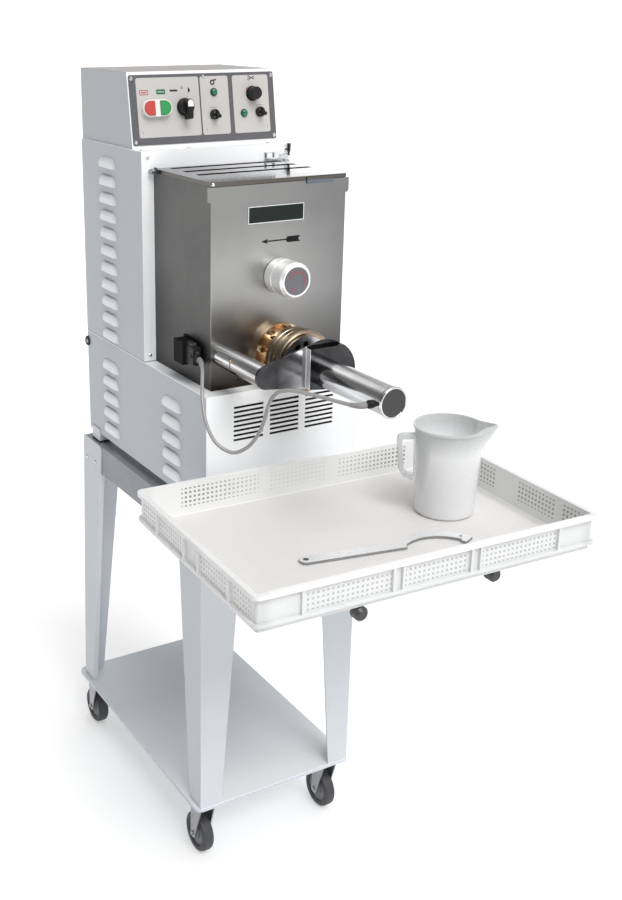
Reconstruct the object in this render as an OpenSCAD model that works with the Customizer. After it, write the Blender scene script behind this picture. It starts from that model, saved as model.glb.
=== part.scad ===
// Electric pasta maker on a wheeled stand: a mixing hopper over an extruder, with a motor-driven
// cutter that swings on a support tube, and a tray, a jug and a ring spanner in front.
// Millimetres. X to the right, Y to the rear, Z up. The origin lies on the floor, on the machine's
// middle plane, under the middle between the tray's front and the rear casters.

/* [Stand] */
// Width over the legs
stand_w = 326; // [314:2:338]
// Height of the stand's top frame above the floor
stand_h = 700; // [620:5:780]
// Width of the shelf
shelf_w = 340; // [338:2:400]
// Depth of the shelf
shelf_d = 556; // [520:2:640]
// Height of the shelf's top above the floor
shelf_h = 127; // [122:1:160]
// Thickness of the shelf over its turned edge
shelf_edge = 7; // [5:1:12]
// Radius of the shelf's corners
shelf_corner_r = 14; // [6:1:24]
// Width of a leg at the top
leg_top_w = 86; // [74:1:90]
// Width of a leg at the bottom
leg_bottom_w = 43; // [34:1:56]
// Width of the leg's folded lip
leg_lip = 10; // [6:1:14]
// Sheet thickness of the stand
stand_t = 2.5; // [2:0.5:4]
// Distance that the rear legs lean in towards the top
rear_lean = 34; // [0:1:50]
// Distance from the shelf's rear edge to the rear legs
rear_leg_inset = 20; // [4:1:40]
// Height of the top frame's rails
rail_h = 58; // [40:1:70]
// Width of the rails' top flange
rail_flange = 40; // [34:1:50]
// Height of the feet between the stand and the cabinet
foot_h = 20; // [16:1:30]
// Thickness of the feet's rubber pads
pad_t = 5; // [3:0.5:8]

/* [Casters] */
// Diameter of the caster wheels
wheel_d = 76; // [60:1:80]
// Width of the caster wheels
wheel_w = 24; // [18:1:30]
// Distance from the swivel axis back to the axle
caster_trail = 14; // [8:1:20]
// Distance from the shelf's sides to the swivel axis
caster_inset_x = 32; // [30:1:50]
// Distance from the shelf's front and rear edges to the swivel axis
caster_inset_y = 36; // [32:1:60]
// Diameter of the axle
axle_d = 8; // [6:0.5:10]
// Thickness of the fork's sheet
fork_t = 2.5; // [2:0.5:4]

/* [Cabinets] */
// Width of both cabinets
cab_w = 304; // [296:2:330]
// Depth of the lower cabinet
lower_d = 490; // [440:5:520]
// Height of the lower cabinet
lower_h = 204; // [190:2:240]
// Height of the upper cabinet
upper_h = 374; // [374:2:420]
// Distance from the lower front face back to the upper front face
upper_setback = 231; // [210:1:250]
// Sheet thickness of the cabinets
cab_t = 1.5; // [1:0.25:2.5]
// Length of a louvre
louvre_l = 74; // [50:1:90]
// Height of a louvre
louvre_h = 20; // [12:1:22]
// How far a louvre stands out
louvre_out = 6; // [4:0.5:8]
// Distance from one louvre to the next
louvre_pitch = 32.4; // [26:0.2:36]
// Height of the front grille's slots
slot_h = 4.2; // [3:0.2:5]
// Distance from one grille slot to the next
slot_pitch = 8.2; // [7.4:0.2:9]
// Length of the grille's slots
slot_l = 58; // [40:1:62]

/* [Control head] */
// Width of the control head
head_w = 296; // [280:2:304]
// Height of the control head
head_h = 129; // [120:1:150]
// Distance from the upper front face back to the foot of the head's face
head_setback = 43; // [30:1:60]
// How far the head's face leans back over its height
head_lean = 20; // [10:1:40]
// Width of the fascia plate
fascia_w = 292; // [270:2:296]
// Height of the fascia plate
fascia_h = 120; // [112:1:124]
// Thickness of the fascia plate
fascia_t = 1.5; // [1:0.5:3]
// Travel of the start and stop buttons
button_travel = 3; // [2:0.5:4]
// Radius of the double button's round ends
bezel_r = 14.5; // [13:0.5:16]
// Diameter of the selector's hub
selector_d = 29; // [24:1:34]
// Diameter of the speed knob
speed_knob_d = 24; // [18:1:28]
// Diameter of the toggle switches' collars
toggle_d = 18; // [14:1:20]
// Diameter of the signal lamps
lamp_d = 11; // [8:0.5:14]

/* [Hopper] */
// Width of the hopper
hopper_w = 258; // [240:2:264]
// Height of the hopper
hopper_h = 338; // [330:2:356]
// Distance from the lower front face back to the hopper's front
hopper_inset = 26; // [10:1:40]
// Thickness of the hopper's front plate
hopper_front_t = 2.5; // [2:0.5:4]
// Sheet thickness of the hopper and its trough
hopper_t = 1.5; // [1:0.25:2.5]
// Inner radius of the mixing trough
trough_r = 94; // [90:1:94]
// Thickness of the lid's sheet
lid_t = 2; // [1.5:0.5:3]
// Height of the lid's turned-down edges
lid_edge = 7; // [6:0.5:9]
// Width of the lid's slots
lid_slot = 15; // [10:1:16]
// Diameter of the lid's hinge pins
lid_pin_d = 6; // [4:0.5:7]

/* [Mixer] */
// Height of the mixing shaft above the lower cabinet
mixer_rise = 184; // [184:1:190]
// Diameter of the mixing shaft
mixer_d = 18; // [14:1:22]
// Diameter of the mixing arms
mixer_arm_d = 11; // [8:0.5:14]
// Length of the paddle at each arm's end
paddle_l = 34; // [20:1:40]
// Diameter of the aluminium knob
knob_d = 60; // [50:1:66]
// Length of the aluminium knob
knob_l = 54; // [40:1:60]

/* [Extruder] */
// Height of the extruder's axis above the lower cabinet
auger_rise = 54; // [51:1:54]
// Bore of the extruder barrel
barrel_bore = 54; // [48:1:54]
// Outer diameter of the extruder barrel
barrel_d = 66; // [62:1:68]
// Diameter of the barrel's front flange
flange_d = 100; // [98:1:100]
// Thickness of the barrel's front flange
flange_t = 12; // [8:1:16]
// Diameter of the ring nut
ring_d = 108; // [106:1:110]
// Length of the ring nut
ring_l = 40; // [34:1:42]
// Diameter of the die's face
die_face_d = 90; // [80:1:92]
// Diameter of the auger's shaft
auger_shaft_d = 20; // [16:1:24]
// Pitch of the auger's flight
auger_pitch = 38; // [30:1:50]
// Thickness of the auger's flight
flight_t = 5; // [4:0.5:8]

/* [Cutter] */
// Distance from the extruder's axis across to the support tube
arm_x = 108; // [106:1:109]
// Height of the support tube above the extruder's axis
arm_rise = 5.5; // [2:0.5:10]
// Diameter of the support tube
arm_d = 37; // [34:1:40]
// Length of the fixed sleeve on the hopper
sleeve_l = 31; // [24:1:40]
// Distance from the hopper's front to the front of the guard plate
guard_out = 140; // [136:1:150]
// Radius of the guard plate's round end
guard_r = 52.5; // [50:0.5:58]
// Thickness of the guard plate
guard_t = 4; // [3:0.5:6]
// Depth of the gear case in front of the guard plate
case_d = 11; // [8:1:20]
// Diameter of the motor tube
motor_d = 48; // [40:1:48]
// Length of the motor tube
motor_l = 164; // [120:2:200]
// Diameter of the cord
cord_d = 6; // [4:0.5:8]

/* [Tray] */
// Width of the tray over its rim
tray_w = 600; // [560:5:620]
// Depth of the tray over its rim
tray_d = 400; // [360:5:420]
// Height of the tray
tray_h = 58; // [50:1:70]
// Wall thickness of the tray
tray_t = 3; // [2:0.5:4]
// Width of the tray's rim
tray_rim = 9; // [6:0.5:12]
// Distance from the lower front face forward to the tray
tray_gap = 28; // [20:1:60]
// How far the loose tray is turned on its rods, in degrees
tray_turn = -2.5; // [-3:0.5:0]
// Height of the support rods' tops above the stand's top frame
rod_rise = 37; // [30:1:44]
// Diameter of the tray's support rods
rod_d = 16; // [12:1:18]
// Distance between the support rods
rod_pitch = 244; // [232:2:246]

/* [Jug and spanner] */
// Diameter of the jug at the rim
jug_d = 112; // [100:1:120]
// Diameter of the jug at the bottom
jug_bottom_d = 98; // [90:1:110]
// Height of the jug
jug_h = 150; // [130:1:170]
// Wall thickness of the jug
jug_t = 2; // [1.5:0.25:3]
// Width of the spanner's handle
spanner_w = 20; // [16:1:24]
// Thickness of the spanner
spanner_t = 5; // [4:0.5:8]

/* [Hidden] */
$fn = 48;

// Clearances: side by side, in a running fit, and round a piece that is let in
gap = 0.3;
run = 0.05;
seat = 0.02;
weld = 0.05;
eps = 0.01;

// Whole outline, front to rear
tray_reach = tray_gap + tray_d;
rear_reach = shelf_d - caster_inset_y + caster_trail + wheel_d / 2;
front_y = (tray_reach - rear_reach) / 2;
shelf_rear_y = front_y + shelf_d;

// Stand
leg_x = stand_w / 2;
leg_h = stand_h - shelf_h;
leg_front_y = front_y + 1;
leg_rear_y = shelf_rear_y - rear_leg_inset;
rail_x = leg_x - stand_t;
rail_front_y = leg_front_y + stand_t;
rail_rear_y = leg_rear_y - rear_lean - stand_t;
cab_z = stand_h + foot_h;
foot_w = 26;
foot_l = 36;
foot_inset_y = 24;
leg_corner_r = 14;

// Casters
shelf_sheet = 2;
plate_t = 2.5;
plate_s = 56;
crown_z = shelf_h - shelf_sheet - plate_t - 2 * gap;
crown_r = 22;
crown_t = 5;
kingpin_d = 10;
fork_gap = 1.5;
axle_z = wheel_d / 2;

// Cabinets
deck_z = cab_z + lower_h;
upper_z = deck_z + upper_h;
upper_front_y = front_y + upper_setback;
lower_rear_y = front_y + lower_d;
louvre_rear_inset = 111;
louvre_front_inset = 125;
louvre_upper_inset = 116;
louvre_rows = 5;
louvre_upper_rows = 11;
louvre_first_z = deck_z - 45;
louvre_upper_first_z = upper_z - 32;
grille_pitch = slot_l + 13;
grille_z = deck_z - 26;
slot_rows = 8;

// Control head
head_y = upper_front_y + head_setback;
head_z = upper_z + head_h;
head_tilt = atan(head_lean / head_h);
face_h = head_h / cos(head_tilt);
fascia_up = (face_h - fascia_h) / 2;
bezel_x = -98;
bezel_up = 68;
bezel_w = 56;
bezel_out = 9;
bezel_floor = 1.2;
button_r = 12;
button_edge = 5.6;
button_out = 2.4;
selector_x = -41;
selector_up = 68;
selector_base_h = 4;
selector_hub_h = 10;
grip_w = 8;
grip_h = 10;
vent_x = 18;
vent_up = 53;
cut_x = 113;
cut_up = 54;
toggle_h = 5;
toggle_rest = 14;
lever_r = 2.6;
lever_l = 13;
speed_x = 100;
speed_up = 87;
speed_h = 16;
lamp_vent = [20, 92];
lamp_cut = [80, 53];
lamp_h = 4;
screw_r = 3.4;
screw_h = 2;
leg_bolt_r = 4.5;

// Hopper
hopper_y = front_y + hopper_inset;
hopper_z = deck_z + hopper_h;
hopper_rear_y = upper_front_y;
tub_y = hopper_y + hopper_front_t;
feed_w = 48;
feed_front_y = tub_y + 8;
feed_rear_y = hopper_rear_y - 32;
ear_w = 6;
ear_h = 20;
ear_r = 5;
plate_x = -8;
plate_rise = 288;
plate_w = 106;
plate_h = 27;
name_plate_t = 1;
lid_rear_y = hopper_rear_y - 3;
lid_slot_y = [93, 140, 187];
lid_slot_x = [-104, 118];
lid_out = lid_t + gap;
lid_pivot_y = hopper_rear_y - 10;
lid_pivot_z = hopper_z + 3.5;
lid_ear_r = 6.5;
lid_ear_l = 14;
lid_handle = [50, 102];
lid_handle_h = 6;
boss_x = hopper_w / 2 + 5.2;
boss_w = 5;
boss_r = 4.75;
boss_neck = 4;
ledge_x = (hopper_w + cab_w) / 4;
latch_x = cab_w / 2 - 38;
latch_z = upper_z - 19.5;
latch_reach = 28;
latch_boss = 4;

// Mixer and drive
mixer_z = deck_z + mixer_rise;
auger_z = deck_z + auger_rise;
paddle_clear = 5;
paddle_r = trough_r - paddle_clear;
paddle_t = 5;
knob_neck_d = 40;
knob_neck_y = tub_y + 14;
chain_y = hopper_rear_y + 56;
sprocket_w = 7;
chain_w = 9;
sprocket_auger_r = 34;
sprocket_mixer_r = 68;
chain_t = 7;
block_y = upper_front_y + cab_t + seat;
block_d = 34;
block_w = 104;
block_down = 44;
block_up = 34;
motor_body_r = 62;
gear_y = chain_y + 16;
gear_d = 96;
gear_w = 120;
gear_up = 52;
gear_bore_l = 30;
motor_foot = 30;

// Extruder, from the hopper's front forward
neck_d = 72;
collar_d = 98;
flange_y = hopper_y - flange_t;
ring_y = hopper_y - 44 - ring_l;
lip_t = 4;
collar_y = ring_y + lip_t + 14;
collar_rear_y = hopper_y - 42;
die_y = ring_y - 2;
bolt_r = (flange_d + neck_d) / 4;
bolt_count = 8;
bolt_first_a = 30;
bolt_af = 9.5;
bolt_head_h = 7;

// Cutter
arm_z = auger_z + arm_rise;
guard_y = hopper_y - guard_out;
sleeve_y = hopper_y - sleeve_l;
spigot_d = arm_d - 6;
spigot_l = sleeve_l - 4;
case_y = guard_y - case_d;
case_x = -35;
case_top = guard_r - 9;
foot_slope = 0.12;
arm_end_r = arm_d / 2 + 0.7;
motor_y = case_y - motor_l;
motor_wall = 1.5;
cap_t = 5;
gland_y = motor_y + 15;
gland_l = 12;
gland_r = 6.5;
gland_z = auger_z - 3;
blade_y = die_y - 4;
blade_t = 2;
blade_r = 44;
blade_shaft_d = 8;
blade_hub_d = 20;
blade_hub_l = 10;

// Cord: plug on the hopper's left side, and the route's points from there to the gland
plug_x = -hopper_w / 2 - 10;
plug_y = front_y + 54;
plug_l = 28;
plug_w = 18;
plug_h = 30;
plug_z = auger_z + 1;
socket_y = plug_y + plug_l;
socket_l = 32;
socket_w = 24;
socket_h = 40;
cord_route = [
    [-139, -18.5, 974], [-139, -25, 974], [-143, -38, 972], [-153, -60, 966], [-166, -83, 951],
    [-176, -103, 927], [-179, -121, 899], [-172, -140, 872], [-154, -160, 859], [-136, -175, 869],
    [-126, -190, 892], [-123, -205, 922], [-124, -220, 955], [-121, -235, 974], [-113, -250, 982],
    [-100, -268, 983], [-82, -292, 980], [-66, -318, 977], [-55, -336, 975.5], [-46, -345, 975],
    [-41, -346, 975], [-36.5, -346, 975]];
cord_sides = 8;

// Tray, rods, jug and spanner
tray_z = stand_h + rod_rise;
tray_y = front_y - tray_gap;
tray_front_y = tray_y - tray_d;
tray_floor_z = tray_z + tray_t;
rod_shift = -12;
rod_z = tray_z - rod_d / 2 - 1;
rod_foot_z = stand_h - rail_h / 2;
rod_front_y = tray_front_y + 8;
rod_cap_d = 22;
rod_cap_l = 18;
tray_foot = 8;
tray_foot_h = 9;
tray_rib_t = 4;
tray_rib_x = [60, 76, 224];
tray_rib_y = [24, 120];
rod_plate = 40;
rod_plate_t = 4;
jug_x = 176;
jug_y = -290;
jug_turn = 151;
spanner_x = -130;
spanner_y = -341;
spanner_turn = -10;
hook_clear = 9.5;
hook_r = ring_d / 2 + hook_clear;
hook_w = 17;
bar_l = 165;
hook_end_a = 30;
hook_start_a = 142;
hook_c = [208, -51];
spanner_hole = 9;

// Sheets lying in the YZ and XZ planes: the outline's first axis is Y or X, the second is Z
module yz(t) { rotate([90, 0, 90]) linear_extrude(t) children(); }
module xz(t) { translate([0, t, 0]) rotate([90, 0, 0]) linear_extrude(t) children(); }

// A box between two corners
module box(a, b) { translate(a) cube(b - a); }

// A shaft along Y from y0 to y1
module rod_y(d, y0, y1) { translate([0, y1, 0]) rotate([90, 0, 0]) cylinder(d = d, h = y1 - y0); }

// A body turned about Y: the outline's first axis is the radius, the second runs forward
module turned_y(y) { translate([0, y, 0]) rotate([90, 0, 0]) rotate_extrude() children(); }

module scale_x(s) { if (s < 0) mirror([1, 0, 0]) children(); else children(); }

// ---- Stand ----

module rounded(w, d, r) {
    square([w - 2 * r, d], center = true);
    square([w, d - 2 * r], center = true);
    for (x = [-1, 1], y = [-1, 1]) translate([x * (w / 2 - r), y * (d / 2 - r)]) circle(r);
}

module shelf() {
    color("gainsboro") translate([0, front_y + shelf_d / 2, shelf_h - shelf_edge])
    difference() {
        linear_extrude(shelf_edge) rounded(shelf_w, shelf_d, shelf_corner_r);
        translate([0, 0, -eps]) linear_extrude(shelf_edge - shelf_sheet + eps)
            rounded(shelf_w - 2 * shelf_sheet, shelf_d - 2 * shelf_sheet,
                shelf_corner_r - shelf_sheet);
    }
}

// A folded sheet leg with its outer corner at the origin, its webs along +X and +Y and its top
// set in by lean along +Y
module leg(lean) {
    lip_h = leg_h - rail_h - 4;
    lip_top_y = leg_bottom_w + (leg_top_w + lean - leg_bottom_w) * lip_h / leg_h;
    intersection() {
        yz(leg_top_w) polygon([[0, 0], [stand_t, 0], [stand_t + lean, leg_h], [lean, leg_h]]);
        translate([0, -1, 0]) xz(lean + stand_t + 2)
            polygon([[0, 0], [leg_bottom_w, 0], [leg_top_w, leg_h], [0, leg_h]]);
    }
    corner = [leg_top_w + lean - leg_corner_r, leg_h - leg_corner_r];
    yz(stand_t) polygon(concat([[0, 0], [leg_bottom_w, 0]],
        [for (a = [15 : 25 : 90]) corner + leg_corner_r * [cos(a), sin(a)]], [[lean, leg_h]]));
    yz(leg_lip) polygon([[leg_bottom_w - stand_t, 0], [leg_bottom_w, 0],
        [lip_top_y, lip_h], [lip_top_y - stand_t, lip_h]]);
    linear_extrude(stand_t) polygon([[0, 0], [leg_bottom_w, 0], [0, leg_bottom_w]]);
}

module legs() {
    color("lightsteelblue") for (s = [-1, 1]) {
        scale_x(-s) translate([-leg_x, leg_front_y, shelf_h]) leg(0);
        scale_x(-s) translate([-leg_x, leg_rear_y, shelf_h]) mirror([0, 1, 0]) leg(rear_lean);
    }
}

// An angle rail along X, its upright at y = 0 and its flange towards +Y
module end_rail() {
    w = 2 * (rail_x - stand_t) - 2 * gap;
    wf = 2 * (rail_x - rail_flange) - 2 * gap;
    box([-w / 2, 0, stand_h - rail_h], [w / 2, stand_t, stand_h]);
    box([-wf / 2, 0, stand_h - stand_t], [wf / 2, rail_flange, stand_h]);
}

module rails() {
    color("lightsteelblue") {
        for (s = [-1, 1]) scale_x(s) {
            box([rail_x - stand_t, rail_front_y, stand_h - rail_h],
                [rail_x, rail_rear_y, stand_h]);
            box([rail_x - rail_flange, rail_front_y, stand_h - stand_t],
                [rail_x, rail_rear_y, stand_h]);
        }
        translate([0, rail_front_y, 0]) end_rail();
        translate([0, rail_rear_y, 0]) mirror([0, 1, 0]) end_rail();
    }
}

// Places at the cabinet's four feet
module at_feet() {
    for (s = [-1, 1], y = [rail_front_y + foot_inset_y, rail_rear_y - foot_inset_y - foot_l])
        scale_x(s) translate([cab_w / 2 - foot_w + stand_t, y, 0]) children();
}

module foot_pads() {
    color("#1c1c1e") at_feet() box([0, 0, stand_h], [foot_w, foot_l, stand_h + pad_t]);
}

module foot_brackets() {
    at_feet() {
        box([0, 0, stand_h + pad_t], [foot_w, foot_l, cab_z]);
        box([foot_w - stand_t, 0, stand_h + pad_t], [foot_w, foot_l, cab_z + 9]);
    }
}

// ---- Casters ----

// The swivel axis of each caster: side and end are -1 or 1
function caster_at(side, end) = [side * (shelf_w / 2 - caster_inset_x),
    end < 0 ? front_y + caster_inset_y : shelf_rear_y - caster_inset_y, 0];

module caster_plates() {
    color("#8d9096") for (s = [-1, 1], e = [-1, 1]) translate(caster_at(s, e)) {
        translate([0, 0, crown_z + 2 * gap]) linear_extrude(plate_t) rounded(plate_s, plate_s, 5);
        translate([0, 0, crown_z - crown_t - 3]) cylinder(d = kingpin_d, h = crown_t + 4);
        translate([0, 0, crown_z - crown_t - 5]) cylinder(d = kingpin_d + 6, h = 5 - gap);
    }
}

module fork() {
    inner = wheel_w / 2 + fork_gap;
    difference() {
        union() {
            translate([0, 0, crown_z - crown_t]) cylinder(r = crown_r, h = crown_t);
            for (s = [-1, 1]) scale_x(s) translate([inner, 0, 0]) yz(fork_t) polygon([
                [-crown_r * 0.8, crown_z - crown_t], [-crown_r * 0.8, crown_z - crown_t - 8],
                [caster_trail - 8, axle_z - 6], [caster_trail, axle_z - 10],
                [caster_trail + 8, axle_z - 6], [crown_r * 0.95, crown_z - crown_t - 10],
                [crown_r * 0.95, crown_z - crown_t]]);
            for (s = [-1, 1]) scale_x(s) box([0, -crown_r * 0.8, crown_z - crown_t],
                [inner + fork_t, crown_r * 0.8, crown_z - crown_t + fork_t]);
        }
        translate([0, 0, crown_z - 2 * crown_t]) cylinder(d = kingpin_d + 2 * run, h = 3 * crown_t);
    }
    translate([0, caster_trail, axle_z]) rotate([0, 90, 0])
        cylinder(d = axle_d, h = 2 * (inner + fork_t) + 6, center = true);
}

module wheel() {
    groove = wheel_w / 2 - 1.5;
    translate([0, caster_trail, axle_z]) rotate([0, 90, 0]) difference() {
        rotate_extrude() polygon([
            [axle_d / 2 + run, -wheel_w / 2 - 0.8], [12, -wheel_w / 2 - 0.8], [13, 3 - groove],
            [wheel_d / 2 - 13, 3 - groove], [wheel_d / 2 - 11, -groove],
            [wheel_d / 2 - 4, -wheel_w / 2 + 0.5], [wheel_d / 2 - 1, -wheel_w / 2 + 3],
            [wheel_d / 2, -wheel_w / 2 + 7], [wheel_d / 2, wheel_w / 2 - 7],
            [wheel_d / 2 - 1, wheel_w / 2 - 3], [wheel_d / 2 - 4, wheel_w / 2 - 0.5],
            [wheel_d / 2 - 11, groove], [wheel_d / 2 - 13, groove - 3], [13, groove - 3],
            [12, wheel_w / 2 + 0.8], [axle_d / 2 + run, wheel_w / 2 + 0.8]]);
    }
}

module caster_fork(side, end) {
    color("#6f7276") translate(caster_at(side, end)) fork();
}

module caster_wheel(side, end) {
    color("#3a3c40") translate(caster_at(side, end)) wheel();
}

// ---- Cabinets ----

// A pressed hood, open below: the section of its middle runs on, and is turned round at both ends.
// It reaches depth into the sheet, stands out from it, is h high, and l long between its ends
module hood(depth, out, h, l) {
    section = concat([[0, -depth], [h, -depth]],
        [for (a = [0 : 30 : 90]) [h * cos(a), out * sin(a)]]);
    translate([0, l / 2, 0]) rotate([90, 0, 0]) linear_extrude(l)
        polygon([for (p = section) [p[1], p[0]]]);
    for (s = [0, 1]) translate([0, (0.5 - s) * l, 0]) rotate([0, 90, 0]) rotate([0, 0, 90 + 90 * s])
        rotate_extrude(angle = 90) polygon(section);
}

// A louvre on the right-hand side face, or the space inside it and its opening in the sheet
module louvre(cut) {
    middle = louvre_l - 2 * louvre_h;
    translate([cab_w / 2, 0, -louvre_h / 2]) if (cut)
        translate([0, 0, -eps]) hood(2 * cab_t, louvre_out - cab_t, louvre_h - cab_t, middle);
    else
        hood(cab_t / 2, louvre_out, louvre_h, middle);
}

// A column of louvres on both sides
module louvre_column(y, z, count, cut) {
    for (s = [-1, 1], i = [0 : count - 1])
        scale_x(s) translate([0, y, z - i * louvre_pitch]) louvre(cut);
}

module lower_louvres(cut) {
    for (y = [front_y + louvre_front_inset, lower_rear_y - louvre_rear_inset])
        louvre_column(y, louvre_first_z, louvre_rows, cut);
}

module lower_shell() {
    w = cab_w / 2;
    color("#c9cdd3") {
        difference() {
            union() {
                difference() {
                    box([-w, front_y + cab_t + seat, cab_z], [w, lower_rear_y, deck_z]);
                    box([-w + cab_t, front_y, cab_z + cab_t],
                        [w - cab_t, lower_rear_y - cab_t, deck_z - cab_t]);
                }
                lower_louvres(false);
            }
            lower_louvres(true);
            translate([0, gear_y + gear_d / 2, deck_z - 2 * cab_t])
                cylinder(r = motor_body_r + 3, h = 4 * cab_t);
        }
        foot_brackets();
    }
}

module lower_front() {
    color("#f2f2f2") translate([0, front_y, 0]) xz(cab_t) difference() {
        translate([-cab_w / 2, cab_z]) square([cab_w, lower_h]);
        for (c = [-1 : 1], r = [0 : slot_rows - 1])
            translate([c * grille_pitch, grille_z - r * slot_pitch])
                square([slot_l, slot_h], center = true);
    }
}

module upper_louvres(cut) {
    louvre_column(lower_rear_y - louvre_upper_inset, louvre_upper_first_z, louvre_upper_rows, cut);
}

module upper_shell() {
    w = cab_w / 2;
    color("#c9cdd3") difference() {
        union() {
            difference() {
                box([-w, upper_front_y, deck_z + seat], [w, lower_rear_y, upper_z]);
                box([-w + cab_t, upper_front_y + cab_t, deck_z - 1],
                    [w - cab_t, lower_rear_y - cab_t, upper_z - cab_t]);
            }
            upper_louvres(false);
        }
        upper_louvres(true);
        for (z = [auger_z, mixer_z])
            translate([0, 0, z]) rod_y(barrel_d + 8, upper_front_y - 1, upper_front_y + 3);
    }
}

// ---- Control head ----

// Places on the head's sloping face: x across, up along the face, drawing forward along -Y
module on_face(x, up, out = 0) {
    translate([0, head_y, upper_z]) rotate([-head_tilt, 0, 0]) translate([x, -out, up]) children();
}

// A plate on the face from its plane forward
module face_plate(t) { rotate([90, 0, 0]) linear_extrude(t) children(); }

module head_case() {
    side = cab_t / cos(head_tilt);
    color("#d4d7da") translate([-head_w / 2, 0, 0]) difference() {
        yz(head_w) polygon([[head_y, upper_z + seat], [head_y + head_lean, head_z],
            [lower_rear_y + 4, head_z], [lower_rear_y + 4, upper_z + seat]]);
        translate([cab_t, 0, 0]) yz(head_w - 2 * cab_t) polygon([
            [head_y + side, upper_z - 1], [head_y + head_lean + side - 0.3, head_z - cab_t],
            [lower_rear_y + 4 - cab_t, head_z - cab_t], [lower_rear_y + 4 - cab_t, upper_z - 1]]);
    }
}

module fascia() {
    color("#5b5c63") on_face(0, fascia_up + fascia_h / 2, seat)
        face_plate(fascia_t) rounded(fascia_w, fascia_h, 4);
}

// The double button's outline, round at both ends
module stadium(w, r) {
    square([w - 2 * r, 2 * r], center = true);
    for (s = [-1, 1]) translate([s * (w / 2 - r), 0]) circle(r);
}

// One button's outline: the stadium's end beyond the white strip
module button_end(side, r, edge) {
    intersection() {
        stadium(bezel_w - 2 * (bezel_r - r), r);
        translate([side > 0 ? edge : -bezel_w, -bezel_r]) square([bezel_w - edge, 2 * bezel_r]);
    }
}

module button_bezel() {
    color("#e6e4de") on_face(bezel_x, bezel_up, fascia_t + 2 * seat) difference() {
        face_plate(bezel_out) stadium(bezel_w, bezel_r);
        for (s = [-1, 1]) translate([0, -bezel_floor, 0]) face_plate(bezel_out)
            button_end(s, button_r + 0.4, button_edge - 0.4);
    }
}

module button(side) {
    depth = bezel_out + button_out - bezel_floor - button_travel - 0.6;
    on_face(bezel_x, bezel_up, fascia_t + bezel_out + button_out - depth)
        face_plate(depth) button_end(side, button_r, button_edge);
}

module stop_button() { color("#d8433c") button(-1); }
module start_button() { color("#2f9a4a") button(1); }

module switch_bases() {
    color("#1c1c1e") {
        on_face(selector_x, selector_up, fascia_t + 2 * seat)
            face_plate(selector_base_h) circle(d = selector_d + 2);
        on_face(speed_x, speed_up, fascia_t + 2 * seat) face_plate(1) circle(d = speed_knob_d + 3);
        for (p = [[vent_x, vent_up], [cut_x, cut_up]])
            on_face(p[0], p[1], fascia_t + 2 * seat) face_plate(toggle_h) difference() {
                circle(d = toggle_d);
                square([2 * lever_r + 1, toggle_d - 5], center = true);
            }
    }
}

module lamp_lenses() {
    color("#0f7a4a") for (p = [lamp_vent, lamp_cut])
        on_face(p[0], p[1], fascia_t + 2 * seat) rotate([90, 0, 0]) rotate_extrude()
            polygon([[0, 0], [lamp_d / 2, 0], [lamp_d / 2, 1.5], [lamp_d / 2 - 1, lamp_h - 1],
                [lamp_d / 2 - 3, lamp_h], [0, lamp_h]]);
}

module selector_knob() {
    color("#1c1c1e") on_face(selector_x, selector_up, fascia_t + selector_base_h + gap) {
        face_plate(selector_hub_h) circle(d = selector_d);
        rotate([0, -26, 0]) face_plate(selector_hub_h + grip_h) translate([-grip_w / 2, -22])
            square([grip_w, 35]);
    }
}

module speed_knob() {
    color("#1c1c1e") on_face(speed_x, speed_up, fascia_t + 1 + gap) rotate([90, 0, 0])
        rotate_extrude() polygon([[0, 0], [speed_knob_d / 2, 0], [speed_knob_d / 2 - 1, speed_h - 1],
            [speed_knob_d / 2 - 2, speed_h], [0, speed_h]]);
}

// A toggle's lever, tipped down at rest, on a cross pin in its collar
module toggle(x, up) {
    on_face(x, up, fascia_t + 2.9) rotate([toggle_rest, 0, 0]) {
        face_plate(lever_l) circle(lever_r);
        translate([0, -lever_l, 0]) rotate([90, 0, 0])
            rotate_extrude() polygon([[0, 0], [lever_r, 0], [lever_r + 1.2, 3],
                [lever_r + 0.8, 5.5], [0, 6]]);
    }
}

module vent_toggle() { color("#1c1c1e") toggle(vent_x, vent_up); }
module cut_toggle() { color("#1c1c1e") toggle(cut_x, cut_up); }

// A pan-head screw, its head forward along -Y
module screw(r = screw_r) {
    rotate([90, 0, 0]) rotate_extrude() polygon([[0, 0], [r, 0], [r, screw_h * 0.4],
        [r * 0.6, screw_h], [0, screw_h]]);
}

module case_screws() {
    fx = fascia_w / 2 - 5;
    fz = fascia_h / 2 - 6;
    color("#d5d7da") {
        for (p = [[-fx, fz], [0, fz], [fx, fz], [-fx, -fz], [fx, -fz]])
            on_face(p[0], fascia_up + fascia_h / 2 + p[1], fascia_t + 2 * seat) screw();
        for (s = [-1, 1], z = [upper_z - 10, deck_z + 12])
            translate([s * ledge_x, upper_front_y, z]) screw();
        for (s = [-1, 1], y = [14, 56])
            scale_x(s) translate([leg_x, leg_rear_y - rear_lean - y, stand_h - 44 + y / 20])
                rotate([0, 0, 90]) screw(leg_bolt_r);
    }
}

// ---- Hopper ----

module hopper_casing() {
    w = hopper_w / 2;
    color("#9b9c9e") difference() {
        box([-w, tub_y, deck_z + seat], [w, hopper_rear_y - seat, hopper_z]);
        box([-w + hopper_t, tub_y - 1, deck_z - 1],
            [w - hopper_t, hopper_rear_y - hopper_t, hopper_z + 1]);
        translate([0, 0, auger_z])
            rod_y(barrel_d + 2 * gap, hopper_rear_y - 9, hopper_rear_y + 1);
        translate([0, 0, mixer_z])
            rod_y(mixer_d + 2 * gap, hopper_rear_y - 9, hopper_rear_y + 1);
    }
}

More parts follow.
